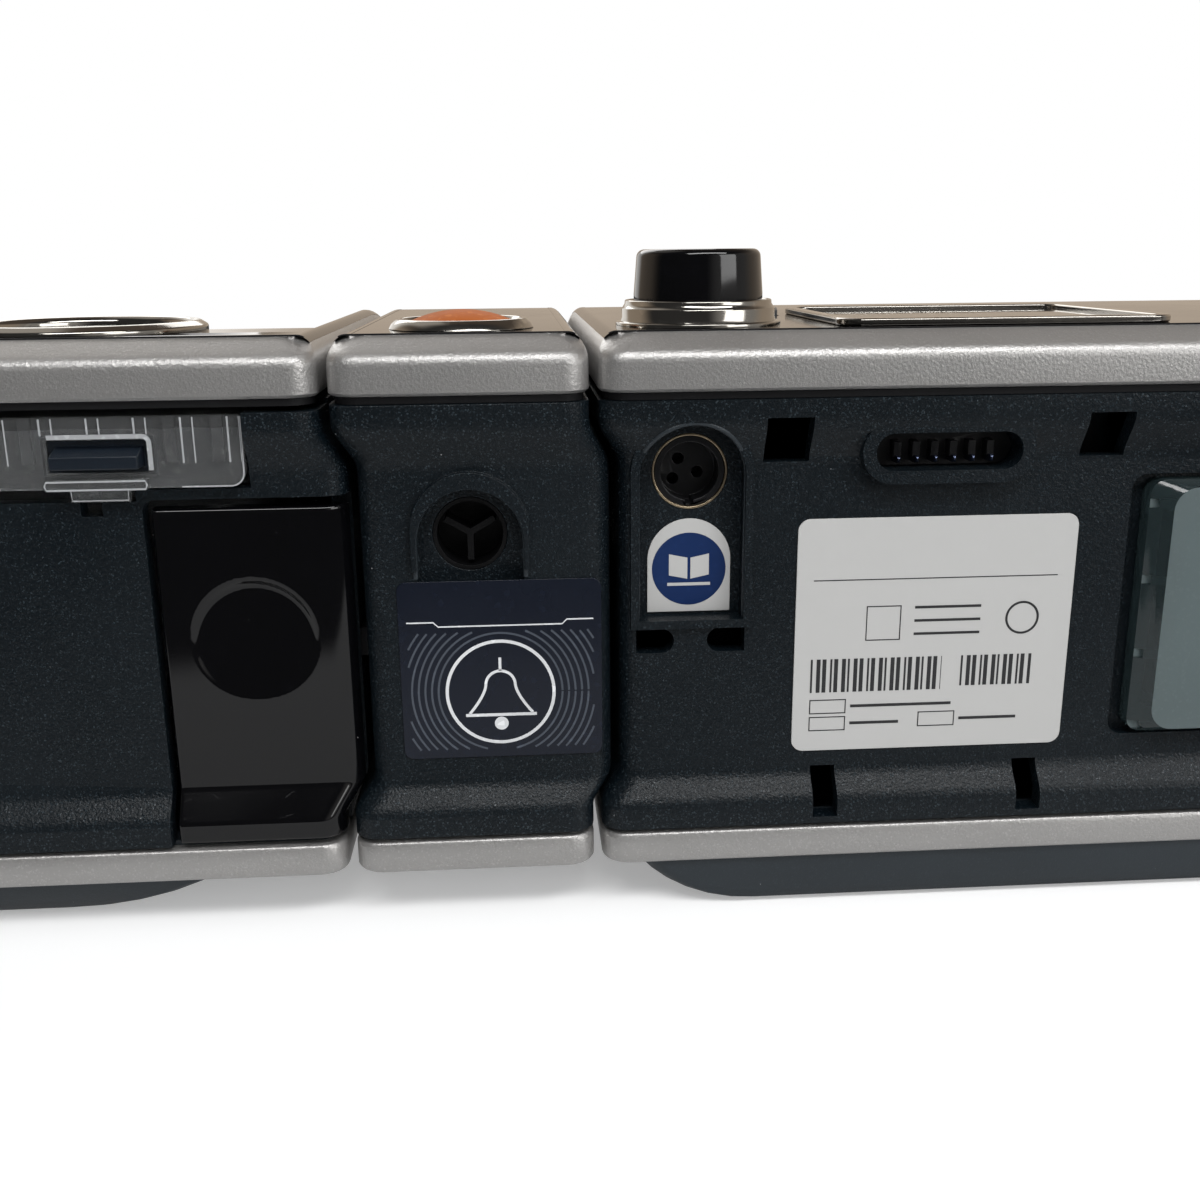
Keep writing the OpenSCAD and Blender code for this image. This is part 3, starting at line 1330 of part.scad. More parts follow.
module lid_button() {
    color(gloss) translate([lid_ring_x, lid_ring_y, 0]) {
        translate([0, 0, facia_low - 0.4]) cylinder(h = facia_t + 0.4 + 0.2, r = lid_button_r, $fn = 96);
        translate([0, 0, facia_low - 0.4 - flange_t]) cylinder(h = flange_t, r = lid_button_r + 1, $fn = 96);
    }
}
module lid_pins() {
    color("silver") for (x = knuckle_xs) on_hinge(x, pin_l, pin_r);
}

// Rubber pads and base screws of the whole set
module rubber_feet() {
    spots = concat(pad_spots(main_x0, main_x1), pad_spots(humid_x0 + humid_pad_in, humid_foot_x1));
    color([0.08, 0.08, 0.09]) for (p = spots) translate([p[0], p[1], 0])
        cylinder(h = pad_t, r = pad_r, $fn = 48);
}
module base_screws() {
    spots = concat(screw_spots(main_x0, main_x1), screw_spots(alarm_x0, alarm_x1),
        screw_spots(humid_x0, humid_x1, humid_screw));
    color("silver") for (p = spots) translate([p[0], p[1], low_z]) {
        cylinder(h = head_t, r = head_r, $fn = 32);
        cylinder(h = screw_len, r = screw_r, $fn = 32);
    }
}

main_foot();
main_tray();
main_band();
main_shell();
main_frame();
main_facia();
lcd_bezel();
lcd_window();
lcd_panel();
dial_collar();
dial_knob();
dial_plunger();
dial_encoder();
start_key();
setup_key();
info_key();
main_board();
power_socket();
power_ring();
data_port();
rating_label();
inlet_sticker();
air_filter();
filter_cover();
memory_card();
card_reader();
blower_case();
blower_lid();
blower_motor();
impeller();
outlet_duct();
alarm_tray();
alarm_band();
alarm_shell();
alarm_frame();
alarm_facia();
alarm_ring();
alarm_button();
alarm_socket();
alarm_label();
alarm_board();
alarm_duct();
humid_foot();
humid_tray();
humid_band();
humid_shell();
heater_plate();
water_tub();
tub_cover();
tub_latches();
release_panel();
dock_hook();
lid_frame();
lid_facia();
lid_ring();
lid_button();
lid_pins();
air_outlet();
rubber_feet();
base_screws();
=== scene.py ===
"""Bilevel positive airway pressure machine on a pale table, seen from its rear.

Three units stand side by side: flow generator, alarm module and humidifier.
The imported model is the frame; each section below finishes one piece or one
group of like pieces: first the covers and top panels of all three units, with
their trays and feet, and then the other pieces, unit by unit.
"""

import json
import math

import bpy
import bmesh
import numpy as np
from mathutils import Matrix, Vector

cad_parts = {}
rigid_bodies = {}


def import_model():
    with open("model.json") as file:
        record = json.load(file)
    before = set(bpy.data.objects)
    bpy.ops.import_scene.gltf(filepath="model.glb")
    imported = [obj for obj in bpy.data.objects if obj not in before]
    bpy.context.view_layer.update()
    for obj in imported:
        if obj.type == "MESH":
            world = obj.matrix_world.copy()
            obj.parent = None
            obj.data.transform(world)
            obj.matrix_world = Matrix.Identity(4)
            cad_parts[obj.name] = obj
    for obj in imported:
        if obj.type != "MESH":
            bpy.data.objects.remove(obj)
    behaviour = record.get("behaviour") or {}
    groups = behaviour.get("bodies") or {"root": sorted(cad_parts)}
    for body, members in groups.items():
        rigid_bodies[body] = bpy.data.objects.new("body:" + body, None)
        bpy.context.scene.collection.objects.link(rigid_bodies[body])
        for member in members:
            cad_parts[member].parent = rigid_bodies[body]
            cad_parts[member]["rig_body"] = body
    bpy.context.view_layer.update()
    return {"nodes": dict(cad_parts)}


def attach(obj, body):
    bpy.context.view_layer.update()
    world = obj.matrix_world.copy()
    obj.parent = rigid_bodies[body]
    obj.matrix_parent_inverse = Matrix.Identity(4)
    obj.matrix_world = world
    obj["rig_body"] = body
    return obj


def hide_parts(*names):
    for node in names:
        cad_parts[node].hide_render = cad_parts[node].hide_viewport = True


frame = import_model()
nodes = frame["nodes"]

# Camera. The photograph was taken close behind the set, a little above its
# top edge, so the outer ends of the two large units run out of the picture.
EYE = np.array([-0.00926, 0.2278, 0.0860])
YAW, PITCH, ROLL = 0.0658, 0.2704, -0.0093
ahead = np.array([-math.sin(YAW) * math.cos(PITCH),
                  -math.cos(YAW) * math.cos(PITCH), -math.sin(PITCH)])
right = np.array([-math.cos(YAW), math.sin(YAW), 0.0])
above = np.cross(right, ahead)
right_t = right * math.cos(ROLL) + above * math.sin(ROLL)
above_t = above * math.cos(ROLL) - right * math.sin(ROLL)
cam_data = bpy.data.cameras.new("camera")
cam_data.lens = 37.56
cam_data.sensor_width = 36.0
cam_data.clip_start = 0.01
camera = bpy.data.objects.new("camera", cam_data)
pose = np.eye(4)
pose[:3, 0], pose[:3, 1], pose[:3, 2], pose[:3, 3] = right_t, above_t, -ahead, EYE
camera.matrix_world = Matrix(pose.tolist())
bpy.context.scene.collection.objects.link(camera)
bpy.context.scene.camera = camera
bpy.context.scene.view_settings.view_transform = "Standard"

# Studio. A pale floor, three soft lamps and an even sky. What the lens or clear
# plastic sees of the surroundings is plain white; gloss sees a room.
WHITE = (1.0, 1.0, 1.0, 1.0)
world = bpy.data.worlds.new("sky")
bpy.context.scene.world = world
world.use_nodes = True
sky = world.node_tree
sky.nodes.clear()
lit = sky.nodes.new("ShaderNodeBackground")
lit.inputs["Color"].default_value = (0.96, 0.98, 1.0, 1.0)
lit.inputs["Strength"].default_value = 0.45

# The room by direction: a dark side behind the lens that is lit to the right, a
# wall beyond the set and a dim ceiling, both brown but for a pale band to the left.
ROOM = (0.38, 0.37, 0.355), (0.05, 0.05, 0.05)
WALLS = (0.52, 0.43, 0.34), (1.30, 1.27, 1.22)
CEILINGS = (0.13, 0.105, 0.085), (0.62, 0.585, 0.54)


def smooth_step(tree, value, low, high):
    """0 below low, 1 above high, smooth between; each may be a socket."""
    node = tree.nodes.new("ShaderNodeMapRange")
    node.interpolation_type = "SMOOTHSTEP"
    for k, v in zip(("Value", "From Min", "From Max"), (value, low, high)):
        if isinstance(v, bpy.types.NodeSocket):
            tree.links.new(v, node.inputs[k])
        else:
            node.inputs[k].default_value = v
    return node.outputs[0]


def blend_colours(tree, factor, a, b):
    """Colour a where factor is 0, b where it is 1; tuples or sockets."""
    node = tree.nodes.new("ShaderNodeMix")
    node.data_type = "RGBA"
    tree.links.new(factor, node.inputs["Factor"])
    for key, v in (("A", a), ("B", b)):
        sock = [s for s in node.inputs if s.name == key and s.type == "RGBA"][0]
        if isinstance(v, bpy.types.NodeSocket):
            tree.links.new(v, sock)
        else:
            sock.default_value = (*v[:3], 1.0)
    return [s for s in node.outputs if s.type == "RGBA"][0]


def math_node(tree, op, a, b=None, c=None):
    """One Math node; a, b and c are sockets or numbers."""
    node = tree.nodes.new("ShaderNodeMath")
    node.operation = op
    for k, v in enumerate((a, b, c)):
        if isinstance(v, bpy.types.NodeSocket):
            tree.links.new(v, node.inputs[k])
        elif v is not None:
            node.inputs[k].default_value = v
    return node.outputs[0]


def mix_shaders(tree, factor, a, b):
    """Shader a where factor is 0, b where it is 1."""
    node = tree.nodes.new("ShaderNodeMixShader")
    tree.links.new(factor, node.inputs["Fac"])
    tree.links.new(a, node.inputs[1])
    tree.links.new(b, node.inputs[2])
    return node.outputs[0]


way = sky.nodes.new("ShaderNodeSeparateXYZ")
sky.links.new(sky.nodes.new("ShaderNodeTexCoord").outputs["Generated"], way.inputs[0])
left = math_node(sky, "MULTIPLY", smooth_step(sky, way.outputs["X"], 0.14, 0.30),
                 smooth_step(sky, way.outputs["X"], 0.72, 0.55))
room = blend_colours(sky, smooth_step(sky, way.outputs["Z"], 0.35, 0.70),
                     blend_colours(sky, left, *WALLS), blend_colours(sky, left, *CEILINGS))
near = blend_colours(sky, smooth_step(sky, way.outputs["X"], -0.50, -0.10), *ROOM)
near = blend_colours(sky, smooth_step(sky, way.outputs["Z"], 0.45, 0.65), near, ROOM[1])
room = blend_colours(sky, smooth_step(sky, way.outputs["Y"], -0.30, 0.20), room, near)
gloss_sky = sky.nodes.new("ShaderNodeBackground")
sky.links.new(room, gloss_sky.inputs["Color"])
shown = sky.nodes.new("ShaderNodeBackground")
shown.inputs["Color"].default_value = WHITE
path = sky.nodes.new("ShaderNodeLightPath").outputs
clear = math_node(sky, "MAXIMUM", path["Is Camera Ray"], path["Is Transmission Ray"])
lit_sky = mix_shaders(sky, path["Is Glossy Ray"], lit.outputs[0], gloss_sky.outputs[0])
sky_out = sky.nodes.new("ShaderNodeOutputWorld")
sky.links.new(mix_shaders(sky, clear, lit_sky, shown.outputs[0]), sky_out.inputs["Surface"])

# The floor: paint that takes the shadow, with a glow for the lens; it fades to
# plain white away from the set, and to the dark of the room for gloss. Each
# fade is a pair of distances (m) from the middle of the set, and gloss sees the
# near floor dimmer by the share GLOSS_DIM.
LENS_FADE, GLOSS_FADE, GLOSS_DIM = (0.20, 0.42), (0.185, 0.205), 0.45
floor_mat = bpy.data.materials.new("pale_floor")
floor_mat.use_nodes = True
floor_tree = floor_mat.node_tree
floor_tree.nodes.clear()
paint = floor_tree.nodes.new("ShaderNodeBsdfDiffuse")
paint.inputs["Color"].default_value = (0.80, 0.80, 0.80, 1.0)
glow = floor_tree.nodes.new("ShaderNodeEmission")
glow.inputs["Color"].default_value = WHITE
glow.inputs["Strength"].default_value = 0.32
near_floor = floor_tree.nodes.new("ShaderNodeAddShader")
floor_tree.links.new(paint.outputs[0], near_floor.inputs[0])
floor_tree.links.new(glow.outputs[0], near_floor.inputs[1])
rays = floor_tree.nodes.new("ShaderNodeLightPath").outputs
far_floor = floor_tree.nodes.new("ShaderNodeEmission")
far_floor.inputs["Color"].default_value = WHITE
floor_tree.links.new(math_node(floor_tree, "MULTIPLY_ADD", rays["Is Glossy Ray"], -0.95, 1.0),
                     far_floor.inputs["Strength"])
span = floor_tree.nodes.new("ShaderNodeVectorMath")
span.operation = "LENGTH"
floor_tree.links.new(floor_tree.nodes.new("ShaderNodeTexCoord").outputs["Object"], span.inputs[0])
lens_fade = smooth_step(floor_tree, span.outputs["Value"], *LENS_FADE)
gloss_fade = smooth_step(floor_tree, span.outputs["Value"], *GLOSS_FADE)
pick = floor_tree.nodes.new("ShaderNodeMapRange")
floor_tree.links.new(rays["Is Glossy Ray"], pick.inputs["Value"])
floor_tree.links.new(lens_fade, pick.inputs["To Min"])
floor_tree.links.new(gloss_fade, pick.inputs["To Max"])
unlit = floor_tree.nodes.new("ShaderNodeEmission")
unlit.inputs["Strength"].default_value = 0.0
dim = mix_shaders(floor_tree,
                  math_node(floor_tree, "MULTIPLY", rays["Is Glossy Ray"], GLOSS_DIM),
                  near_floor.outputs[0], unlit.outputs[0])
seen_floor = mix_shaders(floor_tree, pick.outputs[0], dim, far_floor.outputs[0])
seen = math_node(floor_tree, "MAXIMUM", rays["Is Camera Ray"],
                 math_node(floor_tree, "MAXIMUM", rays["Is Transmission Ray"],
                           rays["Is Glossy Ray"]))
floor_out = floor_tree.nodes.new("ShaderNodeOutputMaterial")
floor_tree.links.new(mix_shaders(floor_tree, seen, paint.outputs[0], seen_floor),
                     floor_out.inputs["Surface"])

FLOOR_R, FLOOR_N = 3.0, 96
turn = np.arange(FLOOR_N) * 2 * math.pi / FLOOR_N
floor_mesh = bpy.data.meshes.new("floor")
floor_mesh.from_pydata(
    np.stack([FLOOR_R * np.cos(turn), FLOOR_R * np.sin(turn), 0 * turn], 1).tolist(),
    [], [list(range(FLOOR_N))])
floor_mesh.materials.append(floor_mat)
floor = bpy.data.objects.new("floor", floor_mesh)
bpy.context.scene.collection.objects.link(floor)


def area_lamp(name, place, target, size_x, size_y, power):
    """A flat white lamp, size_x by size_y metres and power watts, that stands at
    place (m) and faces target (m)."""
    data = bpy.data.lights.new(name, "AREA")
    data.shape = "RECTANGLE"
    data.size, data.size_y = size_x, size_y
    data.energy = power
    lamp = bpy.data.objects.new(name, data)
    aim = Vector(target) - Vector(place)
    lamp.rotation_euler = aim.to_track_quat("-Z", "Y").to_euler()
    lamp.location = place
    bpy.context.scene.collection.objects.link(lamp)


# The key lamp stands behind the lens, about 55 degrees up: from higher it makes
# the sloping rear strips of the frames too bright.
area_lamp("key_lamp", (-0.18, 0.72, 0.99), (-0.02, 0.07, 0.04), 1.3, 0.26, 10.0)
area_lamp("fill_lamp", (-0.95, 0.85, 0.42), (-0.05, 0.05, 0.04), 0.7, 0.5, 4.0)
area_lamp("front_lamp", (0.2, -1.1, 0.8), (0, 0, 0.04), 1.0, 0.7, 5.0)

# Painted frames. The top frame of each unit and the low band under it are
# moulded covers with a satin silver lacquer, thick with fine metal flakes;
# they clip over the dark housings and catch the light on a rounded edge.


def add_group(name, ins, outs):
    """An empty shader group with float inputs {name: default} and named outputs."""
    group = bpy.data.node_groups.new(name, "ShaderNodeTree")
    for label, value in ins.items():
        sock = group.interface.new_socket(label, in_out="INPUT", socket_type="NodeSocketFloat")
        sock.default_value = value
    for label in outs:
        group.interface.new_socket(label, in_out="OUTPUT", socket_type="NodeSocketFloat")
    return group, group.nodes.new("NodeGroupInput").outputs, group.nodes.new("NodeGroupOutput")


def texture(tree, kind, scale, detail=2.0):
    """Noise ("Noise") or cells ("Voronoi") on Object coordinates, waves per metre."""
    node = tree.nodes.new("ShaderNodeTex" + kind)
    tree.links.new(tree.nodes.new("ShaderNodeTexCoord").outputs["Object"], node.inputs["Vector"])
    if isinstance(scale, bpy.types.NodeSocket):
        tree.links.new(scale, node.inputs["Scale"])
    else:
        node.inputs["Scale"].default_value = scale
    if kind == "Noise":
        node.inputs["Detail"].default_value = detail
    return node.outputs


def split_colour(tree, colour):
    """Red, green and blue of a colour, here three random numbers per cell."""
    node = tree.nodes.new("ShaderNodeSeparateColor")
    tree.links.new(colour, node.inputs[0])
    return node.outputs


# Grain: small cells of random height over soft mounds, so that flakes and
# spark-eroded plastic each catch the light their own way.
grain_group, given, made = add_group("fine_grain", {"Scale": 3000.0}, ["Height", "Fleck"])
dice = split_colour(grain_group, texture(grain_group, "Voronoi", given["Scale"])["Color"])
mound = texture(grain_group, "Noise",
                math_node(grain_group, "MULTIPLY", given["Scale"], 0.45), 2.0)
grain_group.links.new(
    math_node(grain_group, "MULTIPLY_ADD", dice[0], 0.35,
              math_node(grain_group, "MULTIPLY", mound["Fac"], 0.9)), made.inputs["Height"])
grain_group.links.new(smooth_step(grain_group, dice[1], 0.86, 1.0), made.inputs["Fleck"])

# Dust: sparse pale specks that lie on the surface.
dust_group, given, made = add_group("dust", {"Scale": 1500.0, "Amount": 0.5}, ["Speck"])
spots = texture(dust_group, "Voronoi", given["Scale"])
dice = split_colour(dust_group, spots["Color"])
inside = math_node(dust_group, "LESS_THAN", spots["Distance"],
                   math_node(dust_group, "MULTIPLY", dice[0], 0.16))
rare = math_node(dust_group, "GREATER_THAN", dice[1],
                 math_node(dust_group, "MULTIPLY_ADD", given["Amount"], -0.05, 1.0))
dust_group.links.new(math_node(dust_group, "MULTIPLY", inside, rare), made.inputs["Speck"])

# Handling: broad soft patches where skin grease and rubbing change the gloss.
smear_group, given, made = add_group("handling", {"Scale": 45.0}, ["Smear"])
patches = texture(smear_group, "Noise", given["Scale"], 4.0)
smear_group.links.new(smooth_step(smear_group, patches["Fac"], 0.38, 0.68),
                      made.inputs["Smear"])


def place_group(tree, group, **values):
    """Puts a shader group into a material with its own input values."""
    node = tree.nodes.new("ShaderNodeGroup")
    node.node_tree = group
    for label, value in values.items():
        node.inputs[label].default_value = value
    return node.outputs


def blend_values(tree, factor, a, b):
    """a where factor is 0, b where it is 1."""
    node = tree.nodes.new("ShaderNodeMapRange")
    tree.links.new(factor, node.inputs["Value"])
    for key, v in (("To Min", a), ("To Max", b)):
        if isinstance(v, bpy.types.NodeSocket):
            tree.links.new(v, node.inputs[key])
        else:
            node.inputs[key].default_value = v
    return node.outputs[0]


def finish(name, colour, rough, grain=3000.0, depth=0.00002, fleck=None, dust=0.3,
           smear=0.08, metallic=0.0, coat=0.0, coat_rough=0.05, specular=0.5, ior=1.5,
           see_through=0.0, fleck_rough=0.0):
    """A surface finish: base colour varied by flecks, handling patches and dust,
    and a bump from the fine grain. depth is the grain's height in metres."""
    mat = bpy.data.materials.new(name)
    mat.use_nodes = True
    tree = mat.node_tree
    skin = tree.nodes["Principled BSDF"]
    grains = place_group(tree, grain_group, Scale=grain)
    specks = place_group(tree, dust_group, Scale=1500.0, Amount=dust)
    smears = place_group(tree, smear_group, Scale=45.0)
    base = blend_colours(tree, smears["Smear"], tuple((1 - 1.5 * smear) * c for c in colour),
                         colour)
    base = blend_colours(tree, grains["Fleck"], base,
                         fleck or tuple(min(1, 1.2 * c) for c in colour))
    base = blend_colours(tree, specks["Speck"], base, tuple(0.25 + 0.6 * c for c in colour))
    tree.links.new(base, skin.inputs["Base Color"])
    rough_map = blend_values(tree, smears["Smear"], rough, min(1.0, rough + smear))
    if fleck_rough:
        rough_map = blend_values(tree, grains["Fleck"], rough_map, fleck_rough)
    tree.links.new(blend_values(tree, specks["Speck"], rough_map, 0.9), skin.inputs["Roughness"])
    skin.inputs["Metallic"].default_value = metallic
    skin.inputs["Coat Weight"].default_value = coat
    skin.inputs["Coat Roughness"].default_value = coat_rough
    skin.inputs["Specular IOR Level"].default_value = specular
    skin.inputs["IOR"].default_value = ior
    skin.inputs["Transmission Weight"].default_value = see_through
    bump = tree.nodes.new("ShaderNodeBump")
    bump.inputs["Distance"].default_value = depth
    tree.links.new(grains["Height"], bump.inputs["Height"])
    tree.links.new(bump.outputs[0], skin.inputs["Normal"])
    return mat


def settle(piece, body, hides=()):
    """Links a finished piece into the scene and to its body, and hides the nodes it stands for."""
    bpy.context.scene.collection.objects.link(piece)
    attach(piece, body)
    for node in hides:
        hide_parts(node)
    return piece


def softened(node, mat, edge=0.0002, sharp=32.0, segments=2):
    """A finished copy of a CAD node: its doubles merged, flat areas joined to
    whole faces, smooth across shallow edges, and its sharp edges rounded off
    by `edge` metres. It replaces the node and rides on the node's body."""
    source = nodes[node]
    mesh = bpy.data.meshes.new(node + "_finished")
    work = bmesh.new()
    work.from_mesh(source.data)
    bmesh.ops.remove_doubles(work, verts=work.verts, dist=0.000004)
    bmesh.ops.dissolve_limit(work, angle_limit=math.radians(0.4), verts=work.verts,
                             edges=work.edges, use_dissolve_boundaries=False)
    work.to_mesh(mesh)
    work.free()
    mesh.materials.clear()
    mesh.materials.append(mat)
    mesh.polygons.foreach_set("material_index", np.zeros(len(mesh.polygons), np.int32))
    mesh.shade_smooth()
    mesh.set_sharp_from_angle(angle=math.radians(sharp))
    piece = bpy.data.objects.new(node + "_finished", mesh)
    if edge:
        bevel = piece.modifiers.new("rounded_edges", "BEVEL")
        bevel.width = edge
        bevel.segments = segments
        bevel.limit_method = "ANGLE"
        bevel.angle_limit = math.radians(sharp)
        bevel.use_clamp_overlap = True
        bevel.harden_normals = True
    return settle(piece, source["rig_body"], [node])


silver = finish("silver_lacquer", (0.465, 0.455, 0.445), 0.43, grain=5200.0, depth=0.00008,
                fleck=(0.53, 0.52, 0.51), dust=0.0, smear=0.02, metallic=0.82, coat=0.4,
                coat_rough=0.33, fleck_rough=0.40)
for node in ("main_frame", "alarm_frame", "lid_frame", "main_band", "alarm_band", "humid_band"):
    softened(node, silver)

# Housings. Blue-black moulded plastic with a coarse spark-eroded grain, one
# shell for each unit, waisted between a flare at the top and one at the foot.
# Its flecks, several times paler than the plastic, are painted glints where the grain catches the
# light.
charcoal = finish("charcoal_plastic", (0.0024, 0.0057, 0.0086), 0.36, grain=6000.0,
                  depth=0.00012, fleck=(0.026, 0.036, 0.043), dust=0.2, specular=0.3,
                  fleck_rough=0.2)
for node in ("main_shell", "alarm_shell", "humid_shell"):
    softened(node, charcoal, edge=0.00035, segments=3)

# Seam shade and panel beads: painted shade. A black strip fills the seam between a
# housing and its frame, and a finer one the seam between a frame and its top panel;
# both stand in for the shade in these gaps.
REAR, FRONT, BEND, CURVE_R = 0.0765, -0.0765, 0.0015, 0.10182
MAIN, ALARM, HUMID = (-0.1594, -0.0194), (-0.0183, 0.0133), (0.0144, 0.1594)
BODY_TOP, BAND_Z, FACE_Z = 0.0687, 0.0697, 0.0767


def fall(y):
    """Drop of the top curve at depth y: level behind BEND, then a circle of
    radius CURVE_R, r - sqrt(r^2 - (BEND - y)^2)."""
    d = np.clip(BEND - np.maximum(y, FRONT), 0, None)
    return CURVE_R - np.sqrt(CURVE_R ** 2 - d ** 2)


def loop(span, inset, corner, corner_n=8, side_n=30):
    """Closed outline of a unit seen from above, drawn in by inset: four corner
    arcs centre + corner * (cos a, sin a) joined by straight sides. Rows (x, y)."""
    x0, x1 = span[0] + inset, span[1] - inset
    y0, y1 = FRONT + inset, REAR - inset
    spots = ((x1 - corner, y0 + corner), (x1 - corner, y1 - corner),
             (x0 + corner, y1 - corner), (x0 + corner, y0 + corner))
    parts = []
    for k, (cx, cy) in enumerate(spots):
        a = np.radians(np.linspace(90 * k - 90, 90 * k, corner_n + 1))
        parts.append(np.stack([cx + corner * np.cos(a), cy + corner * np.sin(a)], 1))
        if k in (0, 2):
            ends = (parts[-1][-1], (x1, y1 - corner) if k == 0 else (x0, y0 + corner))
            t = np.linspace(0, 1, side_n + 1)[1:-1, None]
            parts.append(np.array(ends[0]) * (1 - t) + np.array(ends[1]) * t)
    return np.concatenate(parts)


def grid_faces(m, n, wrap_m=False, wrap_n=False):
    """Quads of an m by n grid of points, closed round where asked."""
    i, j = np.meshgrid(np.arange(m if wrap_m else m - 1), np.arange(n if wrap_n else n - 1),
                       indexing="ij")
    a, b = i * n + j, i * n + (j + 1) % n
    c, d = ((i + 1) % m) * n + (j + 1) % n, ((i + 1) % m) * n + j
    return np.stack([a, b, c, d], -1).reshape(-1, 4)


def surface(name, verts, faces, mat, body, slot_name, hides=(), sharp=35.0):
    """A piece from points and faces: its doubles merged, its faces turned outwards,
    smooth but for edges sharper than `sharp` degrees."""
    mesh = bpy.data.meshes.new(name)
    mesh.from_pydata(np.asarray(verts, float).reshape(-1, 3).tolist(), [],
                     faces if isinstance(faces, list) else faces.tolist())
    work = bmesh.new()
    work.from_mesh(mesh)
    bmesh.ops.remove_doubles(work, verts=work.verts, dist=0.0000005)
    bmesh.ops.dissolve_degenerate(work, edges=work.edges, dist=0.0000001)
    bmesh.ops.recalc_face_normals(work, faces=work.faces)
    work.to_mesh(mesh)
    work.free()
    mesh.materials.append(mat)
    mesh.shade_smooth()
    mesh.set_sharp_from_angle(angle=math.radians(sharp))
    return settle(bpy.data.objects.new(name, mesh), body, hides)


def edge_strip(name, span, section, corner, mat, body, slot_name):
    """A strip round a unit: each (inset, height) of the section is carried along
    the outline, its height lowered by the top curve."""
    rings = []
    for inset, height in section:
        flat = loop(span, inset, corner)
        rings.append(np.column_stack([flat, height - fall(flat[:, 1])]))
    n = len(rings[0])
    return surface(name, np.stack(rings), grid_faces(len(rings), n, True, True), mat, body,
                   slot_name)


# A matte near-black that paints the shade in the seams.
painted_seam_black = finish("painted_seam_shade", (0.006, 0.006, 0.007), 0.6, grain=2500.0,
                      depth=0.000008, dust=0.1, specular=0.25)
TOPS = (("main", MAIN, "base"), ("alarm", ALARM, "base"), ("lid", HUMID, "lid"))
SEAM_LOW, SEAM_TOP = BODY_TOP + 0.00008, BAND_Z - 0.00008
for unit, span, body in TOPS:
    edge_strip(unit + "_seam_shade_strip", span,
               [(0.00066, SEAM_LOW), (0.00066, SEAM_TOP), (0.00094, SEAM_TOP),
                (0.00094, SEAM_LOW)], 0.003, painted_seam_black, body, "pad_rubber")

SIDE_W, EDGE_RISE, STRIP_W = 0.0024, 0.0035, 0.0042


def roll(rise):
    """Inset of a rounded side at this height above the edge's start: a quarter
    ellipse, w (1 - sqrt(1 - (rise / h)^2)), with half-axes w and h."""
    return SIDE_W * (1 - np.sqrt(1 - (rise / EDGE_RISE) ** 2))


def draped(name, across, rise, y, thick, mat, body, slot_name):
    """A thin skin over a top: points (across, rise) of its line from side to
    side, repeated at each depth y, and once more lifted by `thick` along the
    line's normal; the two layers are closed all round."""
    dx, dz = np.gradient(across), np.gradient(rise)
    size = np.hypot(dx, dz)
    lifted = across + thick * dz / size, rise - thick * dx / size
    x = np.concatenate([across, lifted[0][::-1]])
    z = np.concatenate([rise, lifted[1][::-1]]) + FACE_Z - EDGE_RISE
    rows = np.stack([np.stack([x, 0 * x + v, z - fall(v)], 1) for v in y])
    n = len(x)
    faces = grid_faces(len(y), n, False, True).tolist()
    faces += [[row * n + k, row * n + k + 1, row * n + n - 2 - k, row * n + n - 1 - k]
              for row in (0, len(y) - 1) for k in range(n // 2 - 1)]
    return surface(name, rows, faces, mat, body, slot_name)


turn = np.linspace(0.57, 1.0, 10)
rolled_h = EDGE_RISE * np.sin(np.pi / 2 * turn)
rolled_x = roll(rolled_h)
# Beads of the same painted seam shade where each panel meets the frame's rear and front strips.
for unit, span, body in TOPS:
    line_x = np.concatenate([span[0] + rolled_x, span[1] - rolled_x[::-1]])
    line_h = np.concatenate([rolled_h, rolled_h[::-1]])
    for end, y in (("rear", REAR - STRIP_W), ("front", FRONT + STRIP_W)):
        way_in = -1 if end == "rear" else 1
        draped(f"{unit}_{end}_bead", line_x[::-1][4:-4], line_h[::-1][4:-4],
               y + way_in * np.linspace(-0.00005, 0.00025, 3), 0.00018, painted_seam_black, body,
               "pad_rubber")

# Feet and floor trays: smoother slate plastic under the bands, with rubber
# pads pressed into the feet and steel screws from below.
slate = finish("slate_plastic", (0.022, 0.029, 0.035), 0.42, grain=5200.0, depth=0.000015,
               specular=0.4)
for node in ("main_foot", "humid_foot", "main_tray", "alarm_tray", "humid_tray"):
    softened(node, slate)
rubber = finish("pad_rubber", (0.012, 0.012, 0.012), 0.75, grain=1800.0, depth=0.00003,
                dust=0.8, specular=0.25)
softened("rubber_feet", rubber, edge=0.0004)
steel = finish("plain_steel", (0.52, 0.52, 0.53), 0.32, grain=2600.0, depth=0.000004,
               dust=0.2, metallic=1.0)
softened("base_screws", steel, edge=0.0003)

# Top panels: plates of mirror-black plastic let into the frames. The same gloss
# runs on over the rounded sides, as a thin skin on each frame.
gloss = finish("gloss_black", (0.0015, 0.0015, 0.002), 0.05, grain=600.0, depth=0.0000015,
               dust=0.12, smear=0.04)
for node in ("main_facia", "alarm_facia", "lid_facia"):
    softened(node, gloss, edge=0.0)
# A skin laps the panel by LAP, and stops END_GAP short of the sloping strips at
# the rear and the front.
LAP, END_GAP = 0.0003, 0.0003
deep = np.concatenate([[REAR - STRIP_W - END_GAP],
                       np.linspace(BEND, FRONT + STRIP_W + END_GAP, 24)])
for unit, span, body in TOPS:
    for side, edge, s in (("right", span[0], 1), ("left", span[1], -1)):
        line_x = np.append(edge + s * rolled_x, edge + s * (SIDE_W + LAP))
        line_h = np.append(rolled_h, EDGE_RISE)
        if s > 0:
            line_x, line_h = line_x[::-1], line_h[::-1]
        draped(f"{unit}_{side}_skin", line_x, line_h, deep, 0.00004, gloss, body,
               "gloss_black")

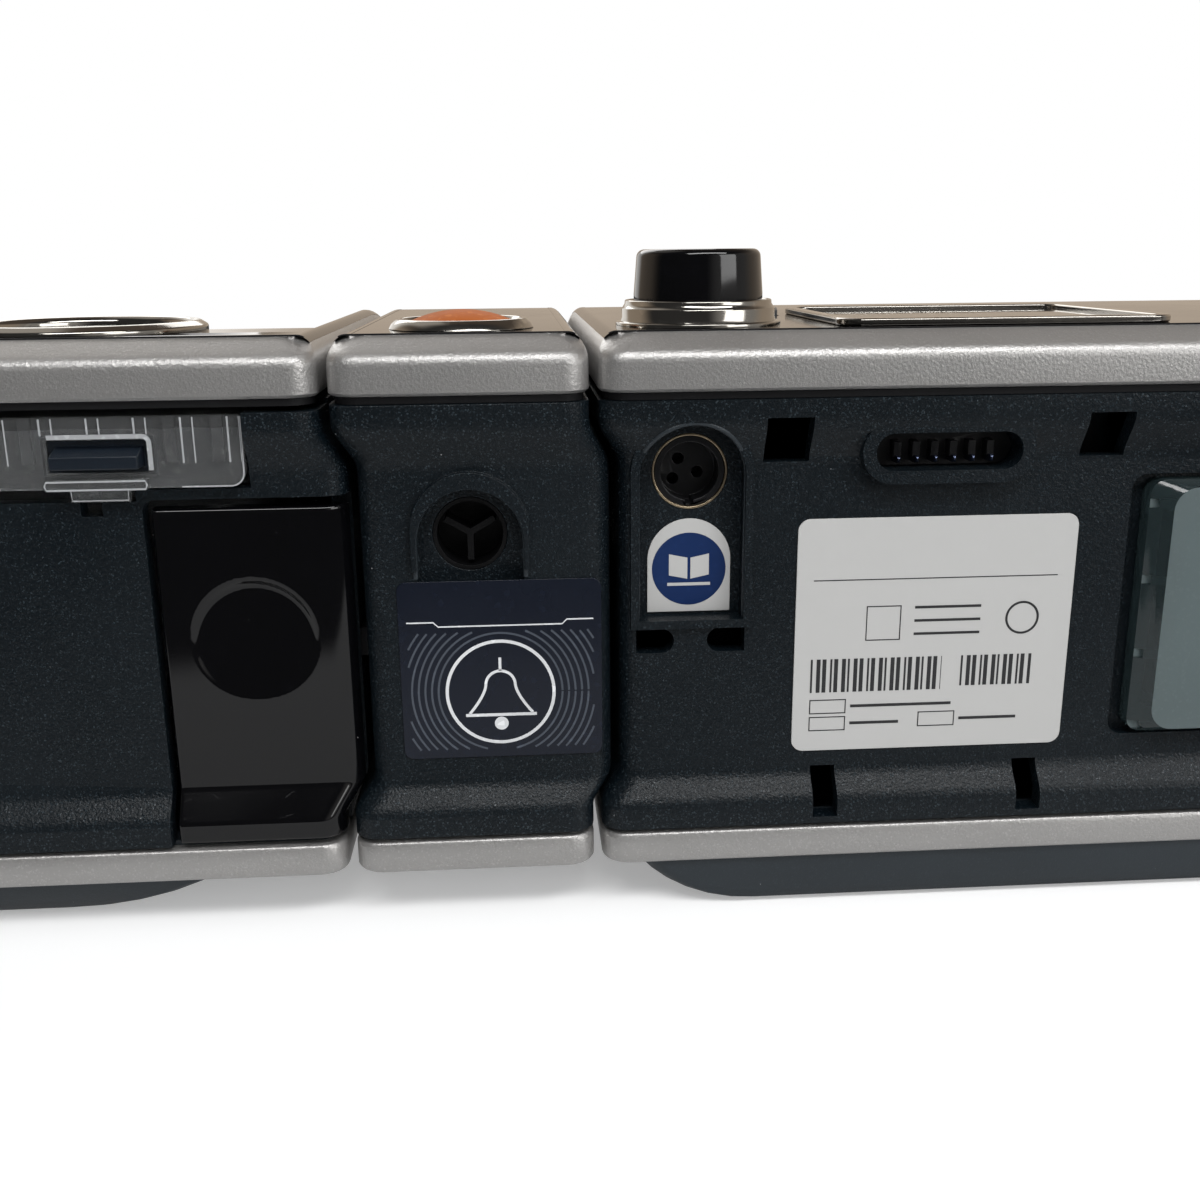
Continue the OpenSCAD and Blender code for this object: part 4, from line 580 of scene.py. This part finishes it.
# Display: a polished frame set in the panel with its lip laid over the edge, a
# clear window in it, and the dark glass of the display itself below.
chrome = finish("polished_chrome", (0.38, 0.36, 0.33), 0.09, grain=700.0, depth=0.000002,
                dust=0.25, smear=0.05, metallic=1.0)
softened("lcd_bezel", chrome, edge=0.0003, segments=3)
softened("lcd_window", finish("display_window", (0.55, 0.60, 0.63), 0.03, grain=600.0,
                              depth=0.000001, dust=0.2, smear=0.04, see_through=1.0), edge=0.0001)
softened("lcd_panel", finish("display_glass", (0.010, 0.014, 0.018), 0.12, grain=900.0,
                             depth=0.000002, dust=0.1), edge=0.0001)

# Dial. A gloss black cap, slightly conical with a rolled top edge and a
# shallow dished top, turns and presses in a polished stepped collar.
DIAL = (-0.0338, 0.0583)


def lathe(profile, place, n=128):
    """A turned form round the vertical: each (r, z) of the profile becomes the
    ring (x + r cos a, y + r sin a, z). A radius of 0 is a pole."""
    a = np.arange(n) * 2 * np.pi / n
    r, z = np.array(profile).T
    verts = np.stack([place[0] + r[:, None] * np.cos(a), place[1] + r[:, None] * np.sin(a),
                      np.repeat(z[:, None], n, 1)], -1)
    return verts, grid_faces(len(r), n, False, True)


def arc_points(r, z, radius, a0, a1, n=6):
    """Points (r + radius cos a, z + radius sin a) of an arc, a from a0 to a1 degrees."""
    a = np.radians(np.linspace(a0, a1, n))
    return list(zip(r + radius * np.cos(a), z + radius * np.sin(a)))


DIAL_R, DIAL_TOP = 0.0085, 0.0864
cap = ([(0, 0.0779), (0.0070, 0.0779)]
       + arc_points(0.0081, 0.0783, 0.0004, -90, 0)
       + [(DIAL_R, 0.0808)]
       + arc_points(0.00715, DIAL_TOP - 0.0010, 0.0010, 0, 90, 9)
       + arc_points(0.0066, DIAL_TOP - 0.0004, 0.0004, 90, 150, 4)
       + [(0.0058, DIAL_TOP - 0.00045), (0.0030, DIAL_TOP - 0.00065), (0, DIAL_TOP - 0.0007)])
surface("dial_cap", *lathe(cap, DIAL), gloss, "dial", "gloss_black", ["dial_knob"])
collar = ([(0.00925, FACE_Z), (0.01095, FACE_Z)]
          + arc_points(0.0108, FACE_Z + 0.0004, 0.00015, 0, 90, 4)
          + [(0.01035, FACE_Z + 0.00062), (0.01015, FACE_Z + 0.0011)]
          + arc_points(0.00985, FACE_Z + 0.0021, 0.0003, 0, 60, 4)
          + [(0.00972, FACE_Z + 0.0028)]
          + arc_points(0.0095, FACE_Z + 0.0031, 0.0002, 0, 180, 7)
          + [(0.00925, FACE_Z + 0.0029)])
verts, faces = lathe(collar + [collar[0]], DIAL)
surface("dial_collar_ring", verts, faces, chrome, "base", "chrome_trim", ["dial_collar"])
inner_black = finish("inner_black", (0.02, 0.02, 0.022), 0.5, dust=0.2)
for node in ("dial_plunger", "dial_encoder"):
    softened(node, inner_black)

# Keys: dark grey caps that stand a little above the panel, each with a small
# pale sign: a start ring, three bars for the menu, a dot over a bar for help.
key_grey = finish("key_grey", (0.085, 0.088, 0.092), 0.28, depth=0.000004, dust=0.2,
                  coat=0.3)
for node in ("start_key", "setup_key", "info_key"):
    softened(node, key_grey, edge=0.00045, segments=3)
KEY_TOP = 0.0780


def ribbon(points, width, closed=False):
    """Left and right edges of a line of the given width along flat points: each
    point is moved by width / 2 along the normal of the directions it joins."""
    p = np.asarray(points, float)
    if closed:
        step = np.roll(p, -1, 0) - np.roll(p, 1, 0)
    else:
        step = np.gradient(p, axis=0)
    step /= np.linalg.norm(step, axis=1, keepdims=True)
    side = np.stack([-step[:, 1], step[:, 0]], 1) * width / 2
    return p + side, p - side, closed


def circle(cx, cy, r, a0=0.0, a1=360.0, n=64):
    """Points of a circle or arc; a whole circle leaves its last point out."""
    a = np.radians(np.linspace(a0, a1, n, endpoint=a1 - a0 < 359.9))
    return np.stack([cx + r * np.cos(a), cy + r * np.sin(a)], 1)


def bar(x0, y0, x1, y1):
    """A filled rectangle as a pair of edges."""
    return (np.array([[x0, y0], [x1, y0]]), np.array([[x0, y1], [x1, y1]]), False)


def disc(cx, cy, r, n=48):
    """A filled disc as a pair of half circles."""
    return (circle(cx, cy, r, 0, 180, n), circle(cx, cy, r, 0, -180, n), False)


def printed(name, strips, place, mat, body, slot_name, thick=0.00003):
    """Ink as a thin film. Each strip is two edges in flat (u, v); place turns rows
    (u, v, height) into points, and the film is closed on all sides."""
    verts, faces, start = [], [], 0
    for left, right, closed in strips:
        n = len(left)
        rows = [np.column_stack([edge, np.full(n, h)])
                for edge, h in ((left, 0.0), (left, thick), (right, thick), (right, 0.0))]
        verts.append(place(np.concatenate(rows)))
        faces += (grid_faces(4, n, True, closed) + start).tolist()
        if not closed:
            faces += [[start + k * n + e for k in range(4)] for e in (0, n - 1)]
        start += 4 * n
    return surface(name, np.concatenate(verts), faces, mat, body, slot_name, sharp=20.0)


def on_top(x, y, z):
    """Place of flat ink on a level face at height z, drawn from (x, y)."""
    return lambda p: np.stack([x - p[:, 0], y - p[:, 1], z - 0.000005 + p[:, 2]], 1)


sign_white = finish("sign_white", (0.62, 0.63, 0.63), 0.4, depth=0.000002, dust=0.1)
signs = {
    "setup_key": ((-0.0320, 0.0363), [bar(-0.0017, v - 0.00025, 0.0017, v + 0.00025)
                                      for v in (-0.0013, 0.0, 0.0013)]),
    "info_key": ((-0.0442, 0.0363), [bar(-0.00035, -0.0018, 0.00035, 0.0007),
                                     disc(0, 0.0016, 0.00045, 16)]),
    "start_key": ((-0.0388, 0.0203), [ribbon(circle(0, 0, 0.0018, 125, 415, 48), 0.0005),
                                      bar(-0.00025, 0.0004, 0.00025, 0.0025)]),
}
for key, (spot, strips) in signs.items():
    printed(key + "_sign", strips, on_top(*spot, KEY_TOP), sign_white, key, "label_white",
            0.00002)

# Power inlet: a dark three-pole socket in a thin brass ring, set in an arched
# recess over a sticker. The sticker is white film, printed with a plain blue
# disc and a blank open booklet.
socket_black = finish("socket_plastic", (0.006, 0.006, 0.007), 0.30, depth=0.00001,
                      specular=0.4)
softened("power_socket", socket_black, edge=0.00015)
brass = finish("dull_brass", (0.62, 0.50, 0.34), 0.30, grain=2500.0, depth=0.000004,
               dust=0.1, metallic=1.0)
softened("power_ring", brass, edge=0.0001)
INLET_X, POCKET_Y, WAIST_Y = -0.0311, 0.0715, 0.0739
label_film = finish("label_film", (0.47, 0.467, 0.457), 0.38, grain=1500.0,
                    depth=0.000002, dust=0.0, smear=0.0, fleck=(0.468, 0.465, 0.455))
softened("inlet_sticker", label_film, edge=0.00005)


def on_rear(x, z, y):
    """Place of flat ink on a face that looks to the rear, drawn from (x, z); u
    runs to the right as seen from behind."""
    return lambda p: np.stack([x - p[:, 0], y - 0.000005 + p[:, 2], z + p[:, 1]], 1)


sticker_blue = finish("sticker_blue", (0.002, 0.020, 0.095), 0.36, grain=1500.0,
                      depth=0.000002, dust=0.12, specular=0.3, fleck=(0.003, 0.022, 0.10))
DISC_Z, FILM = 0.0465, 0.0002
printed("sticker_disc", [disc(0, 0, 0.0048, 64)], on_rear(INLET_X, DISC_Z, POCKET_Y + FILM),
        sticker_blue, "base", "label_white")


def booklet_page(s):
    """A page of the booklet as a pair of edges: the left one for s = -1, the right
    one for s = 1."""
    return (np.array([[0.0002 * s, -0.0013], [0.0026 * s, -0.0008]]),
            np.array([[0.0002 * s, 0.0015], [0.0026 * s, 0.0020]]), False)


printed("sticker_booklet",
        [booklet_page(-1), booklet_page(1), bar(-0.0028, -0.0022, 0.0028, -0.0018)],
        on_rear(INLET_X, DISC_Z, POCKET_Y + FILM + 0.000025), label_film, "base", "label_white")

# Rolled rims of the two arched recesses: round beads moulded with the housings,
# smooth where these are grained, that follow the housing's flare at the top. They
# are drawn in the paler slate finish as a painted highlight along the rims.
FLARE_TOP, FLARE_H, RIM_N = 0.0665, 0.0064, 12


def surface_y(z):
    """Depth of the housing's rear face at height z: the waist, then half a
    cosine wave out to the full depth between 60.1 and 66.5 mm."""
    t = np.clip((FLARE_TOP - z) / FLARE_H, 0, 1)
    return REAR - (REAR - WAIST_Y) * (1 - np.cos(np.pi * t)) / 2


def recess_rim(name, cx, cz, r, low, radius=0.00032):
    """A round bead along an arch: straight up one side, round the top of radius
    r about (cx, cz), and down. At each point it is a circle of `radius`."""
    up = np.linspace(low, cz, 24)[:-1]
    arch = circle(cx, cz, r, 180, 0, 49)
    path = np.concatenate([np.stack([0 * up + cx - r, up], 1), arch,
                           np.stack([0 * up + cx + r, up[::-1]], 1)])
    out = path - np.array([cx, cz])
    out[:, 1] = np.maximum(out[:, 1], 0)
    out /= np.linalg.norm(out, axis=1, keepdims=True)
    a = np.arange(RIM_N) * 2 * np.pi / RIM_N
    mid = path + out * radius * 0.6
    rows = np.stack([mid[:, None, 0] + radius * np.cos(a) * out[:, None, 0],
                     np.minimum(surface_y(mid[:, None, 1]) - 0.00012, REAR - 0.0004)
                     + radius * np.sin(a),
                     mid[:, None, 1] + radius * np.cos(a) * out[:, None, 1]], -1)
    faces = grid_faces(len(rows), RIM_N, False, True).tolist()
    faces += [list(range(RIM_N)), [RIM_N * (len(rows) - 1) + k for k in range(RIM_N)]]
    # Slate, paler than the housing, paints the rim's highlight.
    surface(name, rows, faces, slate, "base", "charcoal_shell")


recess_rim("inlet_rim", INLET_X, 0.0590, 0.0067, 0.0406)
recess_rim("alarm_rim", -0.0031, 0.0512, 0.00675, 0.0466)

# Data port: the dark plastic contact block in its rimmed mouth, with a row of
# six dim metal pins set in it.
softened("data_port", socket_black, edge=0.00012)
PORT_X, PORT_Z, PORT_BACK = -0.0632, 0.0618, 0.0719


def pin_bar(x, z, y0, y1, half=0.00028):
    """A pin with a rounded tip: rectangles of half-width w and half-height 1.6 w
    carried along y, with w shrinking as sqrt(1 - t^2) over the last half millimetre."""
    t = np.linspace(0, 1, 5)
    y = np.concatenate([[y0], y1 - 0.0005 + 0.0005 * t])
    w = half * np.concatenate([[1.0], np.sqrt(np.clip(1 - t ** 2, 0.02, 1))])
    corners = np.array([[-1, -1], [1, -1], [1, 1], [-1, 1]])
    rows = np.stack([x + w[:, None] * corners[:, 0], np.repeat(y[:, None], 4, 1),
                     z + 1.6 * w[:, None] * corners[:, 1]], -1)
    m = len(y)
    faces = grid_faces(m, 4, False, True).tolist()
    return rows.reshape(-1, 3), faces + [[0, 1, 2, 3], [4 * m - 4 + k for k in range(4)]]


pins = [pin_bar(PORT_X + (k - 2.5) * 0.0024, PORT_Z - 0.0012, PORT_BACK, PORT_BACK + 0.0024)
        for k in range(6)]
verts = np.concatenate([v for v, f in pins])
faces = [[i + len(pins[0][0]) * k for i in face] for k, (v, f) in enumerate(pins) for face in f]
surface("port_pins", verts, faces,
        finish("pin_metal", (0.10, 0.12, 0.19), 0.3, dust=0.1, metallic=1.0), "base", "brass_ring")

# Rating label: satin off-white film with rounded corners, printed with blank
# fields, rules and a bar pattern that comes from a formula and says nothing.
softened("rating_label", label_film, edge=0.00008)
ink = finish("label_ink", (0.020, 0.020, 0.022), 0.42, grain=1500.0, depth=0.000002, dust=0.1)
LABEL = (-0.0631, 0.0374, 0.0741)


def frame_box(x0, y0, x1, y1, w=0.00014):
    """Outline of a rectangle as four bars of width w."""
    return [bar(x0, y0, x1, y0 + w), bar(x0, y1 - w, x1, y1), bar(x0, y0, x0 + w, y1),
            bar(x1 - w, y0, x1, y1)]


def code_bars(x0, x1, y0, y1, pitch=0.00026):
    """Upright bars between x0 and x1: bar k is one, two or three units wide by
    the remainder of 7 k^2 + 3 k, with one or two units between bars."""
    out, x, k = [], x0, 0
    while x < x1:
        w = pitch * (1 + (7 * k * k + 3 * k) % 3)
        out.append(bar(x, y0, min(x + w, x1), y1))
        x += w + pitch * (1 + (5 * k + 1) % 2)
        k += 1
    return out


rating = (code_bars(-0.0161, 0.0014, -0.0076, -0.0030)
          + code_bars(0.0040, 0.0135, -0.0072, -0.0030)
          + frame_box(-0.0161, -0.0106, -0.0112, -0.0086)
          + frame_box(-0.0161, -0.0130, -0.0112, -0.0110)
          + frame_box(-0.0014, -0.0128, 0.0036, -0.0107)
          + frame_box(-0.0090, -0.0006, -0.0044, 0.0041)
          + [bar(-0.0161, 0.0076, 0.0161, 0.00774), bar(-0.0106, -0.0098, 0.0030, -0.0094),
             bar(-0.0106, -0.0122, -0.0040, -0.0118), bar(0.0042, -0.0120, 0.0120, -0.0116),
             ribbon(circle(0.0118, 0.0020, 0.0021), 0.0003, True)]
          + [bar(-0.0026, v, 0.0062, v + 0.00035) for v in (0.0000, 0.0018, 0.0036)])
printed("rating_print", rating, on_rear(*LABEL), ink, "base", "label_white")

# Filter cover: smoky teal-grey translucent plastic, clipped over a pad of white
# felt in the filter box. Its face is frosted, and its sloping sides are smooth
# and darker, the darkness a painted shade.
smoky = finish("smoky_plastic", (0.30, 0.39, 0.40), 0.34, grain=3200.0, depth=0.00001,
               dust=0.1, smear=0.06, see_through=0.72, fleck=(0.33, 0.42, 0.43))
tree = smoky.node_tree
outward = tree.nodes.new("ShaderNodeSeparateXYZ")
tree.links.new(tree.nodes.new("ShaderNodeTexCoord").outputs["Normal"], outward.inputs[0])
# Faces that look to the rear keep the frosted colour; the other sides get a darker colour, painted
# shade, and a smooth gloss.
frosted_unshaded_face = smooth_step(tree, outward.outputs["Y"], 0.93, 0.99)
skin = tree.nodes["Principled BSDF"]
frosted = skin.inputs["Base Color"].links[0].from_socket
tree.links.new(blend_colours(tree, frosted_unshaded_face, (0.05, 0.075, 0.08), frosted),
               skin.inputs["Base Color"])
frosted = skin.inputs["Roughness"].links[0].from_socket
tree.links.new(blend_values(tree, frosted_unshaded_face, 0.07, frosted), skin.inputs["Roughness"])
softened("filter_cover", smoky, edge=0.0004, sharp=25.0, segments=3)
felt = finish("filter_felt", (0.62, 0.63, 0.63), 0.95, grain=1600.0, depth=0.0001, dust=0.6,
              specular=0.1)
softened("air_filter", felt, edge=0.0005)

# Memory card: a dark blue plastic card that slides into a sheet-metal reader
# behind the free end wall.
softened("card_reader", steel, edge=0.0001)
softened("memory_card", finish("card_plastic", (0.012, 0.028, 0.10), 0.34,
                               depth=0.000005, dust=0.1))

# Works of the flow unit and the alarm unit: green circuit boards, and a black
# blower case with its motor and white impeller, joined by black ducts.
board_green = finish("board_green", (0.015, 0.10, 0.045), 0.32, grain=1200.0, depth=0.00002,
                     dust=0.2, fleck=(0.30, 0.30, 0.24))
for node in ("main_board", "alarm_board"):
    softened(node, board_green, edge=0.0001)
for node in ("blower_case", "blower_lid", "outlet_duct", "alarm_duct"):
    softened(node, inner_black)
softened("blower_motor", steel)
softened("impeller", finish("impeller_plastic", (0.66, 0.66, 0.65), 0.4, dust=0.2),
         edge=0.0001)

# Alarm lens: a domed button of orange plastic in a polished metal ring; it
# presses in to silence the alarm.
softened("alarm_ring", chrome, edge=0.00015)
orange = finish("orange_lens", (0.42, 0.105, 0.015), 0.45, grain=1500.0, depth=0.000003,
                dust=0.1, specular=0.02, fleck=(0.45, 0.13, 0.025))
softened("alarm_button", orange)

# Alarm socket and alarm label: a dark round socket with a three-way key, over
# a navy film printed with a bell in a ring, a bare header and faint arcs.
softened("alarm_socket", finish("alarm_socket_plastic", (0.003, 0.003, 0.0035), 0.4,
                                dust=0.05, specular=0.25), edge=0.00012)
navy = finish("navy_film", (0.0045, 0.0070, 0.0150), 0.20, grain=1500.0, depth=0.000003,
              dust=0.08, specular=0.35, fleck=(0.0055, 0.0085, 0.018))
softened("alarm_label", navy, edge=0.00008)
pale_ink = finish("pale_ink", (0.66, 0.67, 0.68), 0.35, grain=1500.0, depth=0.000002, dust=0.1)
faint_ink = finish("faint_ink", (0.055, 0.066, 0.085), 0.3, grain=1500.0, depth=0.000002,
                   dust=0.1)
NOTICE = (-0.0066, 0.0343, 0.0741)
BELL = (-0.0002, -0.0030)


def bell_side(s):
    """Half of a bell's outline: a quarter circle for the crown, then a side that
    flares as a power, x = 1.9 + 2.2 t^1.5 while z falls from 1.0 to -2.9 (mm)."""
    a = np.radians(np.linspace(90, 0, 12))
    t = np.linspace(0, 1, 12)[1:]
    x = np.concatenate([1.9 * np.cos(a), 1.9 + 2.2 * t ** 1.5])
    z = np.concatenate([1.0 + 1.9 * np.sin(a), 1.0 - 3.9 * t])
    return np.stack([BELL[0] + s * x / 1000, BELL[1] + z / 1000], 1)


outline_bell = np.concatenate([bell_side(-1)[::-1], bell_side(1)[1:]])
printed("alarm_bell",
        [ribbon(circle(*BELL, 0.0069, n=96), 0.00042, True), ribbon(outline_bell, 0.00036),
         bar(BELL[0] - 0.0046, BELL[1] - 0.0033, BELL[0] + 0.0046, BELL[1] - 0.0029),
         disc(BELL[0], BELL[1] - 0.0043, 0.0009, 24),
         bar(BELL[0] - 0.00018, BELL[1] + 0.0029, BELL[0] + 0.00018, BELL[1] + 0.0047)],
        on_rear(*NOTICE), pale_ink, "base", "label_navy")
printed("alarm_header_rule",
        [ribbon([(-0.0119, 0.0066), (-0.0085, 0.0066), (-0.0079, 0.0060), (0.0079, 0.0060),
                 (0.0085, 0.0066), (0.0119, 0.0066)], 0.00018)],
        on_rear(*NOTICE), pale_ink, "base", "label_navy")


def arcs_on_label(radii, half_w=0.0119, low=-0.0108, high=0.0052):
    """Arcs about the bell, each cut where it would leave the label's field."""
    out = []
    for r in radii:
        p = circle(*BELL, r, 0, 360, 361)
        keep = (np.abs(p[:, 0]) < half_w) & (p[:, 1] > low) & (p[:, 1] < high)
        ends = np.flatnonzero(np.diff(np.concatenate([[0], keep.astype(int), [0]])))
        out += [ribbon(p[a:b], 0.00026) for a, b in zip(ends[::2], ends[1::2]) if b - a > 6]
    return out


printed("alarm_arcs", arcs_on_label(np.arange(0.0080, 0.0150, 0.00085)), on_rear(*NOTICE),
        faint_ink, "base", "label_navy", 0.000015)

# Humidifier works: an aluminium heater plate under a clear water tub, and the
# tub's clear cover, whose ribbed rear flange shows below the lid with two
# dark latches in its windows.
softened("heater_plate", finish("heater_metal", (0.50, 0.50, 0.51), 0.3, grain=1800.0,
                                depth=0.000006, dust=0.2, metallic=1.0))
clear_plastic = finish("clear_plastic", (0.90, 0.92, 0.93), 0.10, grain=1500.0,
                       depth=0.0000012, dust=0.1, smear=0.10, ior=1.49, see_through=0.94)
softened("water_tub", clear_plastic, edge=0.0004)
softened("tub_cover", clear_plastic, edge=0.0003)
# Edges of clear plastic gather light, and painted highlights stand in for it: a
# fine pale line runs along each edge of the flange's ribs, over each latch and down
# one side of it, round the lips and down the flange's rounded ends.
painted_edge_highlight = finish("painted_highlight_lines", (0.40, 0.41, 0.42), 0.22, grain=2500.0, depth=0.00002,
                   dust=0.1, smear=0.1, fleck=(0.46, 0.47, 0.48))
FLANGE_Y, FLANGE_TOP, FLANGE_LOW, LIP_Y = 0.0750, 0.0676, 0.0591, 0.07617
LATCHES = (0.0410, 0.1328)


def upright(x, z0, z1, width=0.00016):
    """A vertical line on the flange as a pair of edges."""
    return bar(x - width / 2, z0, x + width / 2, z1)


def on_flange(y):
    """Place of flat lines on the flange, drawn at their own x and z, at depth y."""
    return lambda p: np.stack([p[:, 0], y + p[:, 2], p[:, 1]], 1)


flange_highlights = []
for x in np.arange(0.0252, 0.1445, 0.0055):
    above = min(abs(x - 0.0007 - spot) for spot in LATCHES) < 0.0068
    foot = 0.0656 if above else 0.0621
    flange_highlights += [upright(x, foot, FLANGE_TOP, 0.00022), upright(x - 0.0014, foot, FLANGE_TOP)]
for spot in LATCHES:
    x0, x1 = spot - 0.0064, spot + 0.0055
    latch_highlight = np.concatenate([[[x1, 0.0654]], circle(x0 + 0.0008, 0.0646, 0.0008, 90, 180, 8),
                                 [[x0, 0.0613]]])
    flange_highlights += [ribbon(latch_highlight, 0.00055),
             ribbon([(spot - 0.0034, 0.0590), (spot - 0.0033, 0.0577), (spot + 0.0033, 0.0577),
                     (spot + 0.0034, 0.0590)], 0.00016)]
for x, s in ((0.0237, 1), (0.1456, -1)):
    a = np.radians(np.linspace(180, 270, 10))
    corner = np.stack([x + s * (0.0016 + 0.0016 * np.cos(a)),
                       FLANGE_LOW + 0.0017 + 0.0016 * np.sin(a)], 1)
    end_highlight = [[[x, FLANGE_TOP]], corner, [[x + s * 0.0075, FLANGE_LOW + 0.0001]]]
    flange_highlights += [ribbon(np.concatenate(end_highlight), 0.00018)]
printed("cover_painted_highlights", flange_highlights, on_flange(FLANGE_Y), painted_edge_highlight,
        nodes["tub_cover"]["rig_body"], "clear_plastic", 0.00012)
# The same painted highlight runs round the lip under each latch.
lip_highlights = [ribbon([(spot - 0.0058, 0.0602), (spot + 0.0058, 0.0602), (spot + 0.0060, 0.0597),
                (spot + 0.0058, 0.0592), (spot - 0.0058, 0.0592), (spot - 0.0060, 0.0597)],
               0.00022, True) for spot in LATCHES]
printed("lip_painted_highlights", lip_highlights, on_flange(LIP_Y), painted_edge_highlight,
        nodes["tub_cover"]["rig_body"], "clear_plastic", 0.00006)
latch_navy = finish("latch_plastic", (0.009, 0.014, 0.022), 0.30, grain=4000.0,
                    depth=0.00001, dust=0.2)
softened("tub_latches", latch_navy)
softened("air_outlet", finish("outlet_plastic", (0.20, 0.21, 0.22), 0.42, grain=4000.0,
                              depth=0.00001, dust=0.2), edge=0.0003)

# Release panel: gloss black, it follows the housing's waist, wraps round its
# corner and has a round thumb dish. A hook behind it holds the alarm unit.
PANEL_X1, PANEL_LOW, PANEL_TOP, PANEL_EDGE = 0.0356, 0.01255, 0.0562, 0.0005
WAIST_IN, BODY_Z, CORNER = 0.0026, 0.0122, 0.0032
DISH_X, DISH_Z, DISH_R, DISH_DEEP = 0.0243, 0.0393, 0.0079, 0.0009


def waist(z):
    """How far the panel lies inside the unit's outer line at height z: 0 at the
    foot, then a flat slope up to WAIST_IN over 4 mm; a mean over 0.3 mm of height
    rounds the slope's two bends."""
    part = [np.clip((z + d - BODY_Z - 0.0030) / 0.0040, 0, 1)
            for d in np.linspace(-0.00015, 0.00015, 7)]
    return WAIST_IN * np.mean(part, 0)


def rolled(d, r):
    """Drop of a rounded edge at distance d from it: r - sqrt(r^2 - (r - d)^2)."""
    e = np.clip(r - d, 0, r)
    return r - np.sqrt(r ** 2 - e ** 2)


z = np.concatenate([PANEL_LOW + PANEL_EDGE * np.linspace(0, 1, 6)[:-1] ** 2,
                    np.linspace(PANEL_LOW + PANEL_EDGE, PANEL_TOP - PANEL_EDGE, 150),
                    PANEL_TOP - PANEL_EDGE * np.linspace(1, 0, 6)[1:] ** 2])
w = waist(z)
turn_in = np.radians(np.linspace(168, 90, 11))
side_x = HUMID[0] - w[:, None] + CORNER + CORNER * np.cos(turn_in)
side_y = REAR - w[:, None] - CORNER + CORNER * np.sin(turn_in)
t = np.concatenate([np.linspace(0, 1, 90)[1:-1] * 0.976, 1 - 0.024 * np.linspace(1, 0, 6) ** 2])
flat_x = side_x[:, -1:] + (PANEL_X1 - side_x[:, -1:]) * t
flat_y = np.repeat(REAR - w[:, None], len(t), 1)
x = np.concatenate([side_x, flat_x], 1)
y = np.concatenate([side_y, flat_y], 1)
# The dish is a flat that leans in towards its top, with a wall that slopes down
# from the rim; of the two the shallower counts, smoothed where they meet.
reach = np.hypot(x - DISH_X, z[:, None] - DISH_Z)
lean = DISH_DEEP * np.clip((z[:, None] - DISH_Z) / DISH_R + 1.0, 0, 2) / 2 + 0.00003
wall_in = 0.75 * (DISH_R - reach)
meet = (lean + wall_in - np.sqrt((lean - wall_in) ** 2 + 0.00008 ** 2)) / 2
y -= np.clip(meet, 0, None)
end_gap = np.minimum(z - PANEL_LOW, PANEL_TOP - z)
y -= rolled(PANEL_X1 - x, PANEL_EDGE) + rolled(end_gap, PANEL_EDGE)[:, None]
y = np.maximum(y, POCKET_Y + 0.00002)
grid = np.stack([x, y, np.repeat(z[:, None], x.shape[1], 1)], -1)
m, n = grid.shape[:2]
rim = np.concatenate([np.arange(n), n * np.arange(1, m) + n - 1,
                      n * (m - 1) + np.arange(n - 2, -1, -1), n * np.arange(m - 2, 0, -1)])
back = grid.reshape(-1, 3)[rim] * [1, 0, 1] + [0, POCKET_Y, 0]
k = np.arange(len(rim))
sides = np.stack([rim, rim[(k + 1) % len(rim)], m * n + (k + 1) % len(rim), m * n + k], 1)
faces = grid_faces(m, n).tolist() + sides.tolist() + [(m * n + k).tolist()]
surface("release_plate", np.concatenate([grid.reshape(-1, 3), back]), faces, gloss, "release",
        "gloss_black", ["release_panel"], sharp=50.0)
softened("dock_hook", inner_black)

# Lid: a polished ring laid on the panel round a gloss pad that presses in, and
# steel pins that the lid turns on.
RING = (0.0475, 0.0539)
ring = ([(0.01365, FACE_Z), (0.01585, FACE_Z), (0.01585, FACE_Z + 0.0003)]
        + arc_points(0.0154, FACE_Z + 0.0003, 0.00045, 0, 60, 5)
        + arc_points(0.0146, FACE_Z + 0.0004, 0.0008, 50, 130, 7)
        + [(0.01385, FACE_Z + 0.0008), (0.01365, FACE_Z + 0.0005)])
verts, faces = lathe(ring + [ring[0]], RING, 160)
surface("lid_ring_band", verts, faces, chrome, "lid", "chrome_trim", ["lid_ring"])
softened("lid_button", gloss, edge=0.0003)
softened("lid_pins", steel)

# Brings the placements of all objects up to date.
bpy.context.view_layer.update()
